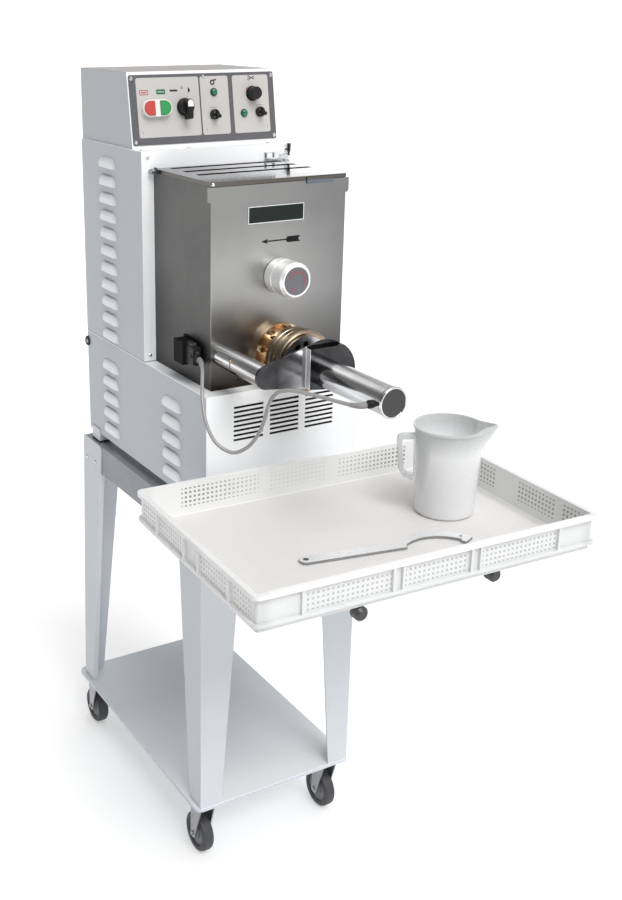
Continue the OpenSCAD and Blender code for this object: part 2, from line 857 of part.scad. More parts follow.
module hopper_front() {
    w = hopper_w / 2;
    color("#b3b3b5") translate([0, hopper_y + seat, 0]) xz(hopper_front_t - 2 * seat) difference() {
        union() {
            translate([-w, deck_z + seat]) square([hopper_w, hopper_h - 0.5]);
            for (s = [-1, 1]) translate([s * (w + ear_w - ear_r), hopper_z - ear_h]) {
                translate([-ear_r, 0]) square([2 * ear_r, ear_h - 0.5]);
                circle(ear_r);
            }
        }
        translate([0, mixer_z]) circle(d = knob_neck_d + 2 * gap);
        translate([0, auger_z]) circle(d = barrel_d + 2 * gap);
    }
}

module trough_outline(r) {
    circle(r);
    translate([-r, 0]) square([2 * r, hopper_z - mixer_z - 14]);
}

module hopper_trough() {
    w = hopper_w / 2 - hopper_t - gap;
    outer = trough_r + hopper_t;
    top = hopper_z - mixer_z - 14;
    color("#a9a9ab") difference() {
        translate([0, tub_y + seat, mixer_z]) xz(hopper_rear_y - hopper_t - tub_y - 2 * seat)
            difference() {
                union() {
                    trough_outline(outer);
                    translate([-w, top - hopper_t]) square([2 * w, hopper_t]);
                }
                translate([0, eps]) trough_outline(trough_r);
            }
        chute(0, trough_r);
    }
    color("#a9a9ab") difference() {
        chute(hopper_t, barrel_d / 2);
        chute(0, barrel_d);
        translate([0, 0, mixer_z]) rod_y(2 * trough_r + hopper_t, tub_y, hopper_rear_y);
        translate([0, 0, auger_z]) rod_y(barrel_d + 2 * gap, hopper_y - 1, hopper_rear_y + 1);
    }
}

// The feed opening from the trough down into the barrel, grown by t, up to a height over the axis
module chute(t, h) {
    box([-feed_w / 2 - t, feed_front_y - t, auger_z + barrel_bore / 4],
        [feed_w / 2 + t, feed_rear_y + t, auger_z + h + hopper_t]);
}

module lid_bosses() {
    color("#8d9096") for (s = [-1, 1]) scale_x(s) {
        translate([boss_x, lid_pivot_y, lid_pivot_z]) rotate([0, 90, 0]) {
            cylinder(r = boss_r, h = boss_w);
            translate([0, 0, -4.4]) cylinder(d = lid_pin_d, h = 5);
        }
        box([boss_x, lid_pivot_y, lid_pivot_z - boss_neck / 2],
            [boss_x + boss_w, upper_front_y - seat, lid_pivot_z + boss_neck / 2]);
    }
}

module name_plate() {
    color("#26282a") translate([plate_x, hopper_y + seat, deck_z + plate_rise])
        rotate([90, 0, 0]) linear_extrude(name_plate_t) square([plate_w, plate_h], center = true);
}

// The lid is a shallow pan: its front and side edges stand on the hopper's rim, and an ear on each
// side hangs outside the hopper on a hinge pin
module lid_grille() {
    w = hopper_w / 2;
    x1 = w + lid_out;
    x0 = x1 - lid_t;
    z0 = hopper_z + gap;
    z1 = z0 + lid_edge;
    color("#d9dadc") difference() {
        union() {
            box([-w, hopper_y, z1 - lid_t], [w, lid_pivot_y - lid_t, z1]);
            box([5 - w, hopper_y, z1 - lid_t], [w - 5, lid_rear_y, z1]);
            box([-w, hopper_y, z0], [w, hopper_y + 1.5, z1]);
            for (s = [-1, 1]) scale_x(s) {
                box([w - lid_t, hopper_y, z0], [w, lid_pivot_y, z1]);
                box([w - lid_t, lid_pivot_y - lid_ear_l, z0], [x1, lid_pivot_y, z1]);
                translate([x0, lid_pivot_y, lid_pivot_z]) rotate([0, 90, 0])
                    cylinder(r = lid_ear_r, h = lid_t);
            }
            box([lid_handle[0], hopper_y - lid_t, z0 - lid_handle_h],
                [lid_handle[1], hopper_y - gap, z1 - lid_t]);
            box([lid_handle[0], hopper_y - lid_t, z0], [lid_handle[1], hopper_y + 1, z1 - lid_t]);
        }
        for (y = lid_slot_y) translate([lid_slot_x[0], hopper_y + y - lid_slot / 2, z0 - 1])
            cube([lid_slot_x[1] - lid_slot_x[0], lid_slot, lid_edge + 2]);
        for (s = [-1, 1]) translate([s * (x0 + lid_t / 2), lid_pivot_y, lid_pivot_z])
            rotate([0, 90, 0]) cylinder(d = lid_pin_d + 2 * run, h = 2 * lid_t, center = true);
    }
}

module latch_bracket() {
    color("#c4c6c9") translate([latch_x, upper_front_y - seat, latch_z]) {
        box([-20, -1.5, -7], [9, 0, 7]);
        box([-18, -8, -5], [-8, -1.5, 5]);
        rotate([90, 0, 0]) cylinder(d = 8, h = latch_boss);
        rotate([90, 0, 0]) cylinder(d = 5, h = 9);
    }
}

module latch_lever() {
    color("#c4c6c9") translate([latch_x, upper_front_y - latch_boss - gap - seat, latch_z]) {
        rotate([90, 0, 0]) difference() {
            cylinder(d = 9, h = 4.5);
            translate([0, 0, -1]) cylinder(d = 5 + 2 * run, h = 9);
        }
        translate([4, -2.3, 0]) rotate([0, 90, 0]) cylinder(d = 3.6, h = latch_reach - 4);
        translate([latch_reach, -2.3, 0]) sphere(d = 3.6);
        translate([latch_reach, -2.3, 0]) cylinder(d = 3.6, h = 8);
        translate([latch_reach, -2.3, 5]) cylinder(d1 = 5.6, d2 = 7, h = 15);
    }
}

// ---- Mixer ----

module mixer_shaft() {
    arms = 4;
    color("#cfd0d2") translate([0, 0, mixer_z]) {
        rod_y(mixer_d, knob_neck_y + gap, gear_y - 2);
        rod_y(mixer_d + 10, tub_y + 24, hopper_rear_y - 24);
        for (i = [0 : arms - 1])
            translate([0, tub_y + 42 + i * 39, 0]) rotate([0, i * 90 + 35, 0]) {
                cylinder(d = mixer_arm_d, h = paddle_r - paddle_t);
                translate([0, 0, paddle_r - paddle_t]) rotate([0, 0, 20])
                    translate([-7, -paddle_l / 2, -2]) cube([14, paddle_l, paddle_t]);
            }
        translate([0, chain_y - sprocket_w / 2, 0]) rotate([-90, 0, 0])
            cylinder(r = sprocket_mixer_r, h = sprocket_w);
    }
}

module mixer_knob() {
    r = knob_d / 2;
    color("#c9c9c6") translate([0, 0, mixer_z]) {
        turned_y(hopper_y - gap) polygon([[0, 0], [r - 1.5, 0], [r, 1.5], [r, 20], [r - 1, 21],
            [r - 1, 23], [r, 24], [r, knob_l - 5], [r - 4, knob_l], [r - 6, knob_l],
            [r - 6.5, knob_l - 1], [0, knob_l - 1]]);
        rod_y(knob_neck_d, hopper_y - gap - 1, knob_neck_y);
    }
}

// ---- Extruder ----

module extruder_barrel() {
    r = barrel_d / 2;
    rb = barrel_bore / 2;
    y0 = upper_front_y + cab_t;
    color("#b98a55") difference() {
        translate([0, 0, auger_z]) turned_y(y0) polygon([
            [rb, 0], [r, 0],
            [r, y0 - hopper_y + seat], [flange_d / 2, y0 - hopper_y + seat],
            [flange_d / 2, y0 - flange_y], [neck_d / 2, y0 - flange_y],
            [neck_d / 2, y0 - collar_rear_y], [collar_d / 2, y0 - collar_rear_y],
            [collar_d / 2, y0 - collar_y], [die_face_d / 2 - 6, y0 - collar_y],
            [rb, y0 - collar_y - 18]]);
        chute(0, barrel_d);
    }
}

module flange_bolts() {
    color("#c9cbce") for (i = [0 : bolt_count - 1])
        translate([0, 0, auger_z]) rotate([0, -bolt_first_a - i * 360 / bolt_count, 0])
            translate([bolt_r, flange_y - seat, 0]) rotate([90, 0, 0])
                cylinder(d = bolt_af / cos(30), h = bolt_head_h, $fn = 6);
}

module die() {
    color("#b8babd") translate([0, 0, auger_z]) difference() {
        union() {
            rod_y(collar_d - 4, ring_y + lip_t + gap, collar_y - seat);
            rod_y(die_face_d, die_y, ring_y + lip_t + 1);
        }
        for (i = [0 : 11]) rotate([0, i * 30, 0]) translate([31, 0, 0])
            rod_y(11, die_y - 1, collar_y + 1);
    }
}

module auger() {
    color("#c9cbce") translate([0, 0, auger_z]) {
        rod_y(auger_shaft_d, collar_y + 2, gear_y + 20);
        translate([0, chain_y - sprocket_w / 2, 0]) rotate([-90, 0, 0])
            cylinder(r = sprocket_auger_r, h = sprocket_w);
        auger_flight();
    }
}

// The auger's flight: a blade that crosses the shaft, turned along it
module auger_flight() {
    l = hopper_rear_y - 8 - (collar_y + 6);
    translate([0, collar_y + 6 + l, 0]) rotate([90, 0, 0])
        linear_extrude(l, twist = 360 * l / auger_pitch, slices = 90, segments = 8)
            translate([0, -flight_t / 2]) square([barrel_bore / 2 - 1.2, flight_t]);
}

module ring_nut() {
    r = ring_d / 2;
    color("#c9b07a") translate([0, 0, auger_z]) turned_y(ring_y + ring_l) polygon([
        [collar_d / 2 + run, 0], [r - 3, 0], [r - 2, 1], [r - 2, 10], [r - 3, 11], [r - 3, 13],
        [r - 1, 14], [r - 1, 24], [r - 2, 25], [r - 2, 26], [r, 27], [r, ring_l - 5],
        [r - 1.5, ring_l - 1.5], [r - 4, ring_l],
        [die_face_d / 2 + gap, ring_l], [die_face_d / 2 + gap, ring_l - lip_t],
        [collar_d / 2 + run, ring_l - lip_t]]);
}

// ---- Cutter ----

module arm_sleeve() {
    color("#d9dadc") translate([-arm_x, 0, arm_z]) difference() {
        rod_y(arm_d, sleeve_y, hopper_y - seat);
        rod_y(spigot_d + 2 * run, sleeve_y - 1, hopper_y + 1);
    }
}

module arm_tube() {
    color("#d9dadc") translate([-arm_x, 0, arm_z]) difference() {
        union() {
            rod_y(arm_d, guard_y + guard_t + seat, sleeve_y - gap);
            rod_y(spigot_d, sleeve_y - gap - 1, sleeve_y + spigot_l);
        }
        rod_y(spigot_d - 5, guard_y + guard_t + 6, sleeve_y + spigot_l + 1);
    }
}

// The guard's outline in XZ about the extruder's axis: a round hood over the die that tapers to
// the support tube, cut along its foot by a line that falls away from the tube
module guard_outline(r, end_r) {
    d = [-arm_x, arm_rise];
    len = norm(d);
    dir = atan2(d[1], d[0]);
    spread = acos((r - end_r) / len);
    tip = function (a, c, rad) [c[0] + rad * cos(a), c[1] + rad * sin(a)];
    foot = function (x) d[1] - end_r * norm([1, foot_slope]) - 0.1 - (x - d[0]) * foot_slope;
    intersection() {
        union() {
            circle(r);
            translate(d) circle(end_r);
            polygon([tip(dir - spread, [0, 0], r - weld), tip(dir - spread, d, end_r - weld),
                tip(dir + spread, d, end_r - weld), tip(dir + spread, [0, 0], r - weld)]);
        }
        polygon([[-2 * arm_x, foot(-2 * arm_x)], [2 * arm_x, foot(2 * arm_x)],
            [2 * arm_x, 4 * guard_r], [-2 * arm_x, 4 * guard_r]]);
    }
}

module guard_plate() {
    color("#c2c4c8") translate([0, 0, auger_z]) difference() {
        union() {
            translate([0, guard_y, 0]) xz(guard_t) difference() {
                guard_outline(guard_r, arm_end_r);
                circle(d = blade_shaft_d + 2 * gap);
            }
            translate([0, case_y, 0]) xz(case_d + eps) intersection() {
                difference() {
                    guard_outline(guard_r, arm_end_r);
                    circle(d = blade_shaft_d + 2 * gap);
                }
                translate([case_x, -guard_r]) square([2 * guard_r, guard_r + case_top]);
            }
        }
    }
}

module motor_tube() {
    color("#d9dadc") translate([0, 0, auger_z]) difference() {
        rod_y(motor_d, motor_y, case_y - seat);
        rod_y(motor_d - 2 * motor_wall, motor_y - 1, case_y - 12);
        rod_y(blade_shaft_d + 2 * gap, case_y - 13, case_y + 1);
    }
}

module end_cap() {
    r = motor_d / 2;
    color("#1c1c1e") translate([0, 0, auger_z]) turned_y(motor_y + 6) polygon([
        [0, 0], [r - motor_wall - seat, 0], [r - motor_wall - seat, 6 + seat], [r + 0.6, 6 + seat],
        [r + 0.6, 6 + cap_t - 2], [r - 2, 6 + cap_t], [0, 6 + cap_t]]);
}

module cable_gland() {
    color("#1c1c1e") translate([-motor_d / 2 - seat, gland_y, gland_z]) rotate([0, -90, 0]) {
        cylinder(r = gland_r, h = gland_l * 0.55);
        cylinder(r = gland_r - 1.5, h = gland_l);
    }
}

module cutter_blade() {
    color("#cfd0d2") translate([0, 0, auger_z]) {
        rod_y(blade_shaft_d, case_y - 12, blade_y + blade_t);
        rod_y(blade_hub_d, blade_y - blade_hub_l, blade_y + blade_t);
        translate([0, blade_y, 0]) xz(blade_t) polygon([[0, -7], [blade_r, -4], [blade_r, 3],
            [0, 7], [-blade_r, 4], [-blade_r, -3]]);
    }
}

module socket_box() {
    x1 = -hopper_w / 2 - seat;
    color("#17181a") {
        box([x1 - socket_w, socket_y, plug_z - socket_h / 2],
            [x1, socket_y + socket_l, plug_z + socket_h / 2]);
        box([x1 - 3, socket_y - 8, plug_z - socket_h / 2 - 3],
            [x1, socket_y + socket_l + 4, plug_z + socket_h / 2 + 3]);
    }
}

module cord_plug() {
    color("#1f2022") translate([plug_x, 0, plug_z]) difference() {
        box([-plug_w / 2, plug_y, -plug_h / 2], [plug_w / 2 - 3.1, socket_y - seat, plug_h / 2]);
        for (s = [-1, 1]) translate([-plug_w, plug_y - 1, s * plug_h / 2]) rotate([s * 24, 0, 0])
            translate([0, 0, s > 0 ? 0 : -20]) cube([2 * plug_w, 30, 20]);
    }
}

// The cord: a ring of points round each point of the route, square to the run between its
// neighbours
function unit(v) = v / norm(v);
function run_at(p, i) = unit(p[min(i + 1, len(p) - 1)] - p[max(i - 1, 0)]);
function catmull(p0, p1, p2, p3, t) = 0.5 * (2 * p1 + (p2 - p0) * t
    + (2 * p0 - 5 * p1 + 4 * p2 - p3) * t * t + (3 * p1 - p0 - 3 * p2 + p3) * t * t * t);
function smoothed(p, n) = concat([for (i = [0 : len(p) - 2], k = [0 : n - 1])
    catmull(p[max(i - 1, 0)], p[i], p[i + 1], p[min(i + 2, len(p) - 1)], k / n)],
    [p[len(p) - 1]]);

module tube_along(p, r, sides) {
    rings = len(p);
    points = [for (i = [0 : rings - 1])
        let (t = run_at(p, i), a = unit(cross(t, [0.2, 0.3, 0.93])), b = cross(t, a))
        for (k = [0 : sides - 1])
            p[i] + r * (cos(360 * k / sides) * a + sin(360 * k / sides) * b)];
    walls = [for (i = [0 : rings - 2], k = [0 : sides - 1])
        [i * sides + k, i * sides + (k + 1) % sides,
            (i + 1) * sides + (k + 1) % sides, (i + 1) * sides + k]];
    first = [[for (k = [sides - 1 : -1 : 0]) k]];
    last = [[for (k = [0 : sides - 1]) (rings - 1) * sides + k]];
    polyhedron(points, concat(first, walls, last));
}

module cutter_cord() {
    color("#a5a4a2") tube_along(smoothed(cord_route, 2), cord_d / 2, cord_sides);
}

// ---- Inner drive ----

module drive_motor() {
    color("#4b5560") {
        difference() {
            box([-gear_w / 2, gear_y, deck_z + seat],
                [gear_w / 2, gear_y + gear_d, auger_z + gear_up]);
            translate([0, 0, auger_z]) rod_y(auger_shaft_d + 2 * run, gear_y - 1, gear_y + gear_bore_l);
        }
        translate([0, gear_y + gear_d / 2, cab_z + motor_foot])
            cylinder(r = motor_body_r, h = lower_h - motor_foot + 1);
    }
}

module bearing_block() {
    color("#7d8288") difference() {
        box([-block_w / 2, block_y, auger_z - block_down],
            [block_w / 2, block_y + block_d, mixer_z + block_up]);
        translate([0, 0, auger_z])
            rod_y(auger_shaft_d + 2 * run, block_y - 1, block_y + block_d + 1);
        translate([0, 0, mixer_z]) rod_y(mixer_d + 2 * run, block_y - 1, block_y + block_d + 1);
    }
}

// A loop of chain round both sprockets
module drive_chain() {
    color("#5a5d61") translate([0, chain_y - chain_w / 2, auger_z]) xz(chain_w) difference() {
        chain_outline(gap + chain_t);
        chain_outline(gap);
    }
}

module chain_outline(out) {
    c = mixer_z - auger_z;
    a = asin((sprocket_mixer_r - sprocket_auger_r) / c);
    r0 = sprocket_auger_r + out - weld;
    r1 = sprocket_mixer_r + out - weld;
    circle(r0 + weld);
    translate([0, c]) circle(r1 + weld);
    polygon([[r0 * cos(a), -r0 * sin(a)], [r1 * cos(a), c - r1 * sin(a)],
        [-r1 * cos(a), c - r1 * sin(a)], [-r0 * cos(a), -r0 * sin(a)]]);
}

// ---- Tray, jug and spanner ----

module tray_rods() {
    bend_y = front_y - 30;
    up_y = bend_y - 60;
    color("#c9cbce") for (s = [-1, 1]) translate([rod_shift + s * rod_pitch / 2, 0, 0]) {
        translate([0, 0, rod_foot_z]) rod_y(rod_d, bend_y, leg_front_y - rod_plate_t - seat + 1);
        translate([0, bend_y, rod_foot_z]) sphere(d = rod_d + 1);
        rod_between([0, bend_y, rod_foot_z], [0, up_y, rod_z]);
        translate([0, up_y, rod_z]) sphere(d = rod_d + 1);
        translate([0, 0, rod_z]) rod_y(rod_d, rod_front_y + rod_cap_l - 2, up_y);
        translate([0, leg_front_y - rod_plate_t - seat, rod_foot_z - rod_plate / 2])
            xz(rod_plate_t) translate([-rod_d, 0]) square([2 * rod_d, rod_plate]);
        translate([0, rod_front_y + rod_cap_l, tray_z - rod_cap_d / 2 - gap]) rotate([90, 0, 0])
            rotate_extrude() polygon([[0, 0], [rod_cap_d / 2 - 1, 0], [rod_cap_d / 2, 1],
                [rod_cap_d / 2, rod_cap_l - 4], [rod_cap_d / 2 - 4, rod_cap_l], [0, rod_cap_l]]);
    }
}

module rod_between(a, b) {
    v = b - a;
    translate(a) rotate([0, acos(v[2] / norm(v)), atan2(v[1], v[0])])
        cylinder(d = rod_d, h = norm(v));
}

// The tray's outer box shrunk by m on every side, about the tray's middle
module tray_block(m, z0, z1) {
    translate([0, 0, z0]) linear_extrude(z1 - z0)
        rounded(tray_w - 2 * m, tray_d - 2 * m, max(12 - m, 3));
}

// Ribs that stiffen the outside of the tray's walls between its rim and its lower flange
module tray_ribs(h) {
    for (s = [-1, 1], x = tray_rib_x) translate([s * x - tray_rib_t / 2, 1 - tray_d / 2, 0])
        cube([tray_rib_t, tray_d - 2, h]);
    for (s = [-1, 1], y = tray_rib_y) translate([1 - tray_w / 2, s * y - tray_rib_t / 2, 0])
        cube([tray_w - 2, tray_rib_t, h]);
}

module tray() {
    wall = tray_rim - tray_t;
    top = tray_z + tray_h;
    flange_z = tray_z + tray_foot_h;
    color("#f4f4f2") translate([0, tray_y - tray_d / 2, 0]) rotate(tray_turn) difference() {
        union() {
            tray_block(wall, flange_z, top);
            tray_block(tray_foot, tray_z, flange_z + 1);
            tray_block(0, top - 7, top);
            tray_block(1, flange_z, flange_z + 5);
            translate([0, 0, flange_z + 1]) tray_ribs(top - flange_z - 2);
        }
        tray_block(wall + tray_t, tray_floor_z, top + 1);
    }
}

module jug() {
    r0 = jug_bottom_d / 2;
    r1 = jug_d / 2;
    spout_h = 34;
    spout_out = 22;
    color("#eef1f3", 0.6) translate([jug_x, jug_y, tray_floor_z + gap]) rotate(jug_turn) {
        difference() {
            union() {
                rotate_extrude() polygon([[0, 0], [r0 - 4, 0], [r0, 4], [r1 - 0.6, jug_h - 5],
                    [r1 + 1.6, jug_h - 4], [r1 + 1.6, jug_h], [0, jug_h]]);
                jug_spout(0, spout_h, spout_out);
            }
            rotate_extrude() polygon([[0, jug_t + 1], [r0 - jug_t - 3, jug_t + 1],
                [r0 - jug_t, jug_t + 5], [r1 - jug_t, jug_h - 5], [r1 - jug_t, jug_h + 1],
                [0, jug_h + 1]]);
            jug_spout(jug_t, spout_h, spout_out);
        }
        jug_handle(r0, r1);
    }
}

// The spout: a wedge that grows out of the wall towards the rim, opposite the handle
module jug_spout(inset, h, out) {
    r1 = jug_d / 2;
    lift = inset > 0 ? 1 : 0;
    intersection() {
        translate([0, 0, jug_h - h + 2 * inset]) linear_extrude(h - 2 * inset + lift) polygon([
            [0, -r1 * 0.45 + inset], [-r1 * 0.87, -r1 * 0.42 + inset], [-r1 - out + 1.5 * inset, -4 + inset],
            [-r1 - out + 1.5 * inset, 4 - inset], [-r1 * 0.87, r1 * 0.42 - inset], [0, r1 * 0.45 - inset]]);
        translate([0, r1, 0]) rotate([90, 0, 0]) linear_extrude(2 * r1) polygon([
            [0, jug_h - h - 9 + 2 * inset], [-r1 * 0.93 + inset, jug_h - h + 2 * inset],
            [-r1 - out + inset, jug_h - 3 + inset], [-r1 - out + inset, jug_h + lift],
            [0, jug_h + lift]]);
    }
}

// The handle: a flat strap that leaves the wall below the rim and hooks back to it
module jug_handle(r0, r1) {
    w = 15;
    t = 7;
    out = 27;
    top = jug_h - 16;
    bottom = 58;
    r_low = r0 + (r1 - r0) * bottom / jug_h;
    translate([0, w / 2, 0]) rotate([90, 0, 0]) linear_extrude(w) difference() {
        polygon([[r1 - 3, top], [r1 + out - 8, top], [r1 + out - 2, top - 3], [r1 + out, top - 10],
            [r1 + out - 5, bottom + 14], [r1 + out - 12, bottom + 4], [r_low - 1, bottom - 5],
            [r_low - 1, bottom + 3], [r1 - 3, top - 10]]);
        polygon([[r1 - 1, top - t], [r1 + out - 9, top - t], [r1 + out - t, top - 12],
            [r1 + out - 12, bottom + 17], [r1 + out - 16, bottom + 11], [r_low + 1, bottom + 5]]);
    }
}

// The spanner: a flat bar with a hook that fits round the ring nut
module spanner() {
    w = spanner_w;
    far = 3 * hook_r;
    tip = function (a) far * [cos(a), sin(a)];
    color("#d3d5d8") translate([spanner_x, spanner_y, tray_floor_z + gap]) rotate(spanner_turn)
        linear_extrude(spanner_t) difference() {
            union() {
                circle(d = w);
                translate([0, -w / 2]) square([bar_l, w]);
                translate(hook_c) intersection() {
                    difference() {
                        circle(hook_r + hook_w);
                        circle(hook_r);
                    }
                    polygon([[0, 0], tip(hook_end_a), tip(90), tip(hook_start_a)]);
                }
                translate(hook_c) rotate(hook_end_a) translate([hook_r - 5, -1])
                    square([hook_w / 2 + 5, 8]);
            }
            circle(d = spanner_hole);
            translate(hook_c) rotate(hook_end_a + 12) translate([hook_r + hook_w / 2, 0])
                circle(d = spanner_hole / 2);
        }
}

shelf();
legs();
rails();
tray_rods();
foot_pads();
caster_plates();
lower_shell();
lower_front();
upper_shell();
head_case();
fascia();
button_bezel();
switch_bases();
lamp_lenses();
case_screws();
hopper_casing();
hopper_front();
hopper_trough();
lid_bosses();
name_plate();
extruder_barrel();
flange_bolts();
die();
arm_sleeve();
socket_box();
cord_plug();
cutter_cord();
latch_bracket();
drive_motor();
bearing_block();
drive_chain();
stop_button();
start_button();
selector_knob();
vent_toggle();
cut_toggle();
speed_knob();
lid_grille();
latch_lever();
mixer_shaft();
mixer_knob();
auger();
ring_nut();
arm_tube();
guard_plate();
motor_tube();
end_cap();
cable_gland();
cutter_blade();
tray();
jug();
spanner();
caster_fork(-1, -1);  // fork_front_left
caster_fork(1, -1);  // fork_front_right
caster_fork(-1, 1);  // fork_rear_left
caster_fork(1, 1);  // fork_rear_right
caster_wheel(-1, -1);  // wheel_front_left
caster_wheel(1, -1);  // wheel_front_right
caster_wheel(-1, 1);  // wheel_rear_left
caster_wheel(1, 1);  // wheel_rear_right
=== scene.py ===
import math

import bpy
import numpy as np
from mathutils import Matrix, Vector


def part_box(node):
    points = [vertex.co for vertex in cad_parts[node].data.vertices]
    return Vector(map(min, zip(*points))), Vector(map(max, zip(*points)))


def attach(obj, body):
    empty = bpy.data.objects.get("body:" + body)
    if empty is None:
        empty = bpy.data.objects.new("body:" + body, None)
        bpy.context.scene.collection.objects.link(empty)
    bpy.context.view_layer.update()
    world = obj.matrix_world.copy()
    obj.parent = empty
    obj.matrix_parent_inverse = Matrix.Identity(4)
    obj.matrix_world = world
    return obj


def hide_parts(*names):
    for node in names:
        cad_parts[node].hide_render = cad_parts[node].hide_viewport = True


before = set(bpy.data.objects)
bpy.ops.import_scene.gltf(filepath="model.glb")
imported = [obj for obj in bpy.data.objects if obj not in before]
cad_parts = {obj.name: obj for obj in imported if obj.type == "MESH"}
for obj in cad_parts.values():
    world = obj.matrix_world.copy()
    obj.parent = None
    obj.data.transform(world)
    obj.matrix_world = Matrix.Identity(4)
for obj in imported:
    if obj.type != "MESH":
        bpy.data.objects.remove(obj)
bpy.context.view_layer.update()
scene = bpy.context.scene
mm = 0.001
print("frame loaded:", len(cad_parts), "nodes")

cameraSettings = {
    "place": (-1.0175, -1.644, 1.5248),
    "pitch": -17.7,   # degrees below the horizon
    "yaw": -28.7,     # degrees, turned towards the machine's right
    "lens": 46.3,
    "shift": (0.119, -0.0758),
}


def makeCamera(c):
    data = bpy.data.cameras.new("camera")
    data.lens = c["lens"]
    data.shift_x, data.shift_y = c["shift"]
    data.clip_end = 8000
    cam = bpy.data.objects.new("camera", data)
    cam.location = c["place"]
    cam.rotation_euler = (math.radians(90 + c["pitch"]), 0, math.radians(c["yaw"]))
    scene.collection.objects.link(cam)
    scene.camera = cam


makeCamera(cameraSettings)

cord = {
    "diameter": 0.006,
    "points": [
        (-139, -18.5, 974), (-139, -25, 974), (-143, -38, 972), (-153, -60, 966),
        (-166, -83, 951), (-176, -103, 927), (-179, -121, 899), (-172, -140, 872),
        (-154, -160, 859), (-136, -175, 869), (-126, -190, 892), (-123, -205, 922),
        (-124, -220, 955), (-121, -235, 974), (-113, -250, 982), (-100, -268, 983),
        (-82, -292, 980), (-66, -318, 977), (-55, -336, 975.5), (-46, -345, 975),
        (-41, -346, 975), (-36.5, -346, 975),
    ],
    "steps": 4,
    "sides": 16,
    "boot": {"from": 0.2, "length": 24, "radii": (5.2, 3.5), "rings": 25, "sides": 20,
             "ribs": 6, "ribHeight": 0.35},
}


def smoothPath(points, steps):
    # A cubic through every point: each stretch leaves and meets a point along its neighbours' chord
    p = np.asarray(points, float)
    ends = np.vstack([p[:1], p, p[-1:]])
    t = np.arange(steps)[:, None] / steps
    out = []
    for i in range(len(p) - 1):
        a, b, c, d = ends[i:i + 4]
        out.append(0.5 * (2 * b + (c - a) * t + (2 * a - 5 * b + 4 * c - d) * t ** 2
                          + (3 * b - a - 3 * c + d) * t ** 3))
    return np.vstack(out + [p[-1:]])


def tubeAlong(path, radius, sides):
    # A circle of the given radius carried square to the path, its twist passed on from ring to ring
    tangent = np.gradient(path, axis=0)
    tangent /= np.linalg.norm(tangent, axis=1)[:, None]
    side = np.cross(tangent[0], [0.2, 0.3, 0.93])     # any direction but the path's own
    sideways = []
    for t in tangent:
        side = side - t * side.dot(t)
        side = side / np.linalg.norm(side)
        sideways.append(side)
    sideways = np.array(sideways)
    upwards = np.cross(tangent, sideways)
    a = np.linspace(0, 2 * np.pi, sides, endpoint=False)
    r = np.broadcast_to(radius, len(path))[:, None, None]
    rings = path[:, None] + r * (np.cos(a)[None, :, None] * sideways[:, None]
                                 + np.sin(a)[None, :, None] * upwards[:, None])
    n = len(path) * sides
    caps = [list(range(sides))[::-1], list(range(n - sides, n))]
    return rings.reshape(-1, 3), gridFaces(len(path), sides, wrap=True) + caps


def gridFaces(rows, columns, wrap=False):
    # Quads between neighbouring rows and columns; with wrap the last column joins the first
    i, k = np.meshgrid(np.arange(rows - 1), np.arange(columns if wrap else columns - 1),
                       indexing="ij")
    n = (k + 1) % columns
    quads = np.stack([i * columns + k, i * columns + n, (i + 1) * columns + n,
                      (i + 1) * columns + k], -1)
    return quads.reshape(-1, 4).tolist()


def makeMesh(name, points, faces, smooth=False, scale=mm):
    mesh = bpy.data.meshes.new(name)
    mesh.from_pydata((np.asarray(points, float) * scale).tolist(), [], faces)
    mesh.update()
    if smooth:
        mesh.polygons.foreach_set("use_smooth", np.ones(len(mesh.polygons), bool))
    piece = bpy.data.objects.new(name, mesh)
    scene.collection.objects.link(piece)
    return piece


def makeCord(c):
    path = smoothPath(c["points"], c["steps"])
    points, faces = tubeAlong(path, c["diameter"] / 2 / mm, c["sides"])
    piece = makeMesh("cutterCord", points, faces, smooth=True)
    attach(piece, "machine")
    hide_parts("cutter_cord")
    boots = [makeBoot(name, path[::step], c["boot"])
             for name, step in (("plugBoot", 1), ("glandBoot", -1))]
    return piece, boots


def makeBoot(name, path, b):
    # A strain relief: a ribbed cone along the cord's first stretch, its radius falling evenly
    run = np.concatenate([[0], np.cumsum(np.linalg.norm(np.diff(path, axis=0), axis=1))])
    at = np.linspace(b["from"], b["length"], b["rings"])
    line = np.stack([np.interp(at, run, path[:, i]) for i in range(3)], -1)
    share = at / b["length"]
    radius = np.interp(share, (0, 1), b["radii"]) + b["ribHeight"] * np.cos(
        share * 2 * b["ribs"] * np.pi)
    piece = makeMesh(name, *tubeAlong(line, radius, b["sides"]), smooth=True)
    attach(piece, "machine")
    return piece


cutterCord, cordBoots = makeCord(cord)


def newMaterial(name):
    mat = bpy.data.materials.new(name)
    mat.use_nodes = True
    nodes = mat.node_tree.nodes
    nodes.clear()
    out = nodes.new("ShaderNodeOutputMaterial")
    shader = nodes.new("ShaderNodeBsdfPrincipled")
    mat.node_tree.links.new(shader.outputs[0], out.inputs[0])
    return mat, nodes, mat.node_tree.links, shader


def objectCoords(nodes, links, centre=(0, 0, 0), scale=(1, 1, 1), turn=(0, 0, 0)):
    place = nodes.new("ShaderNodeTexCoord")
    mapping = nodes.new("ShaderNodeMapping")
    mapping.vector_type = "POINT"
    mapping.inputs["Scale"].default_value = scale
    mapping.inputs["Rotation"].default_value = turn
    mapping.inputs["Location"].default_value = tuple(-c * s for c, s in zip(centre, scale))
    links.new(place.outputs["Object"], mapping.inputs["Vector"])
    return mapping.outputs["Vector"]


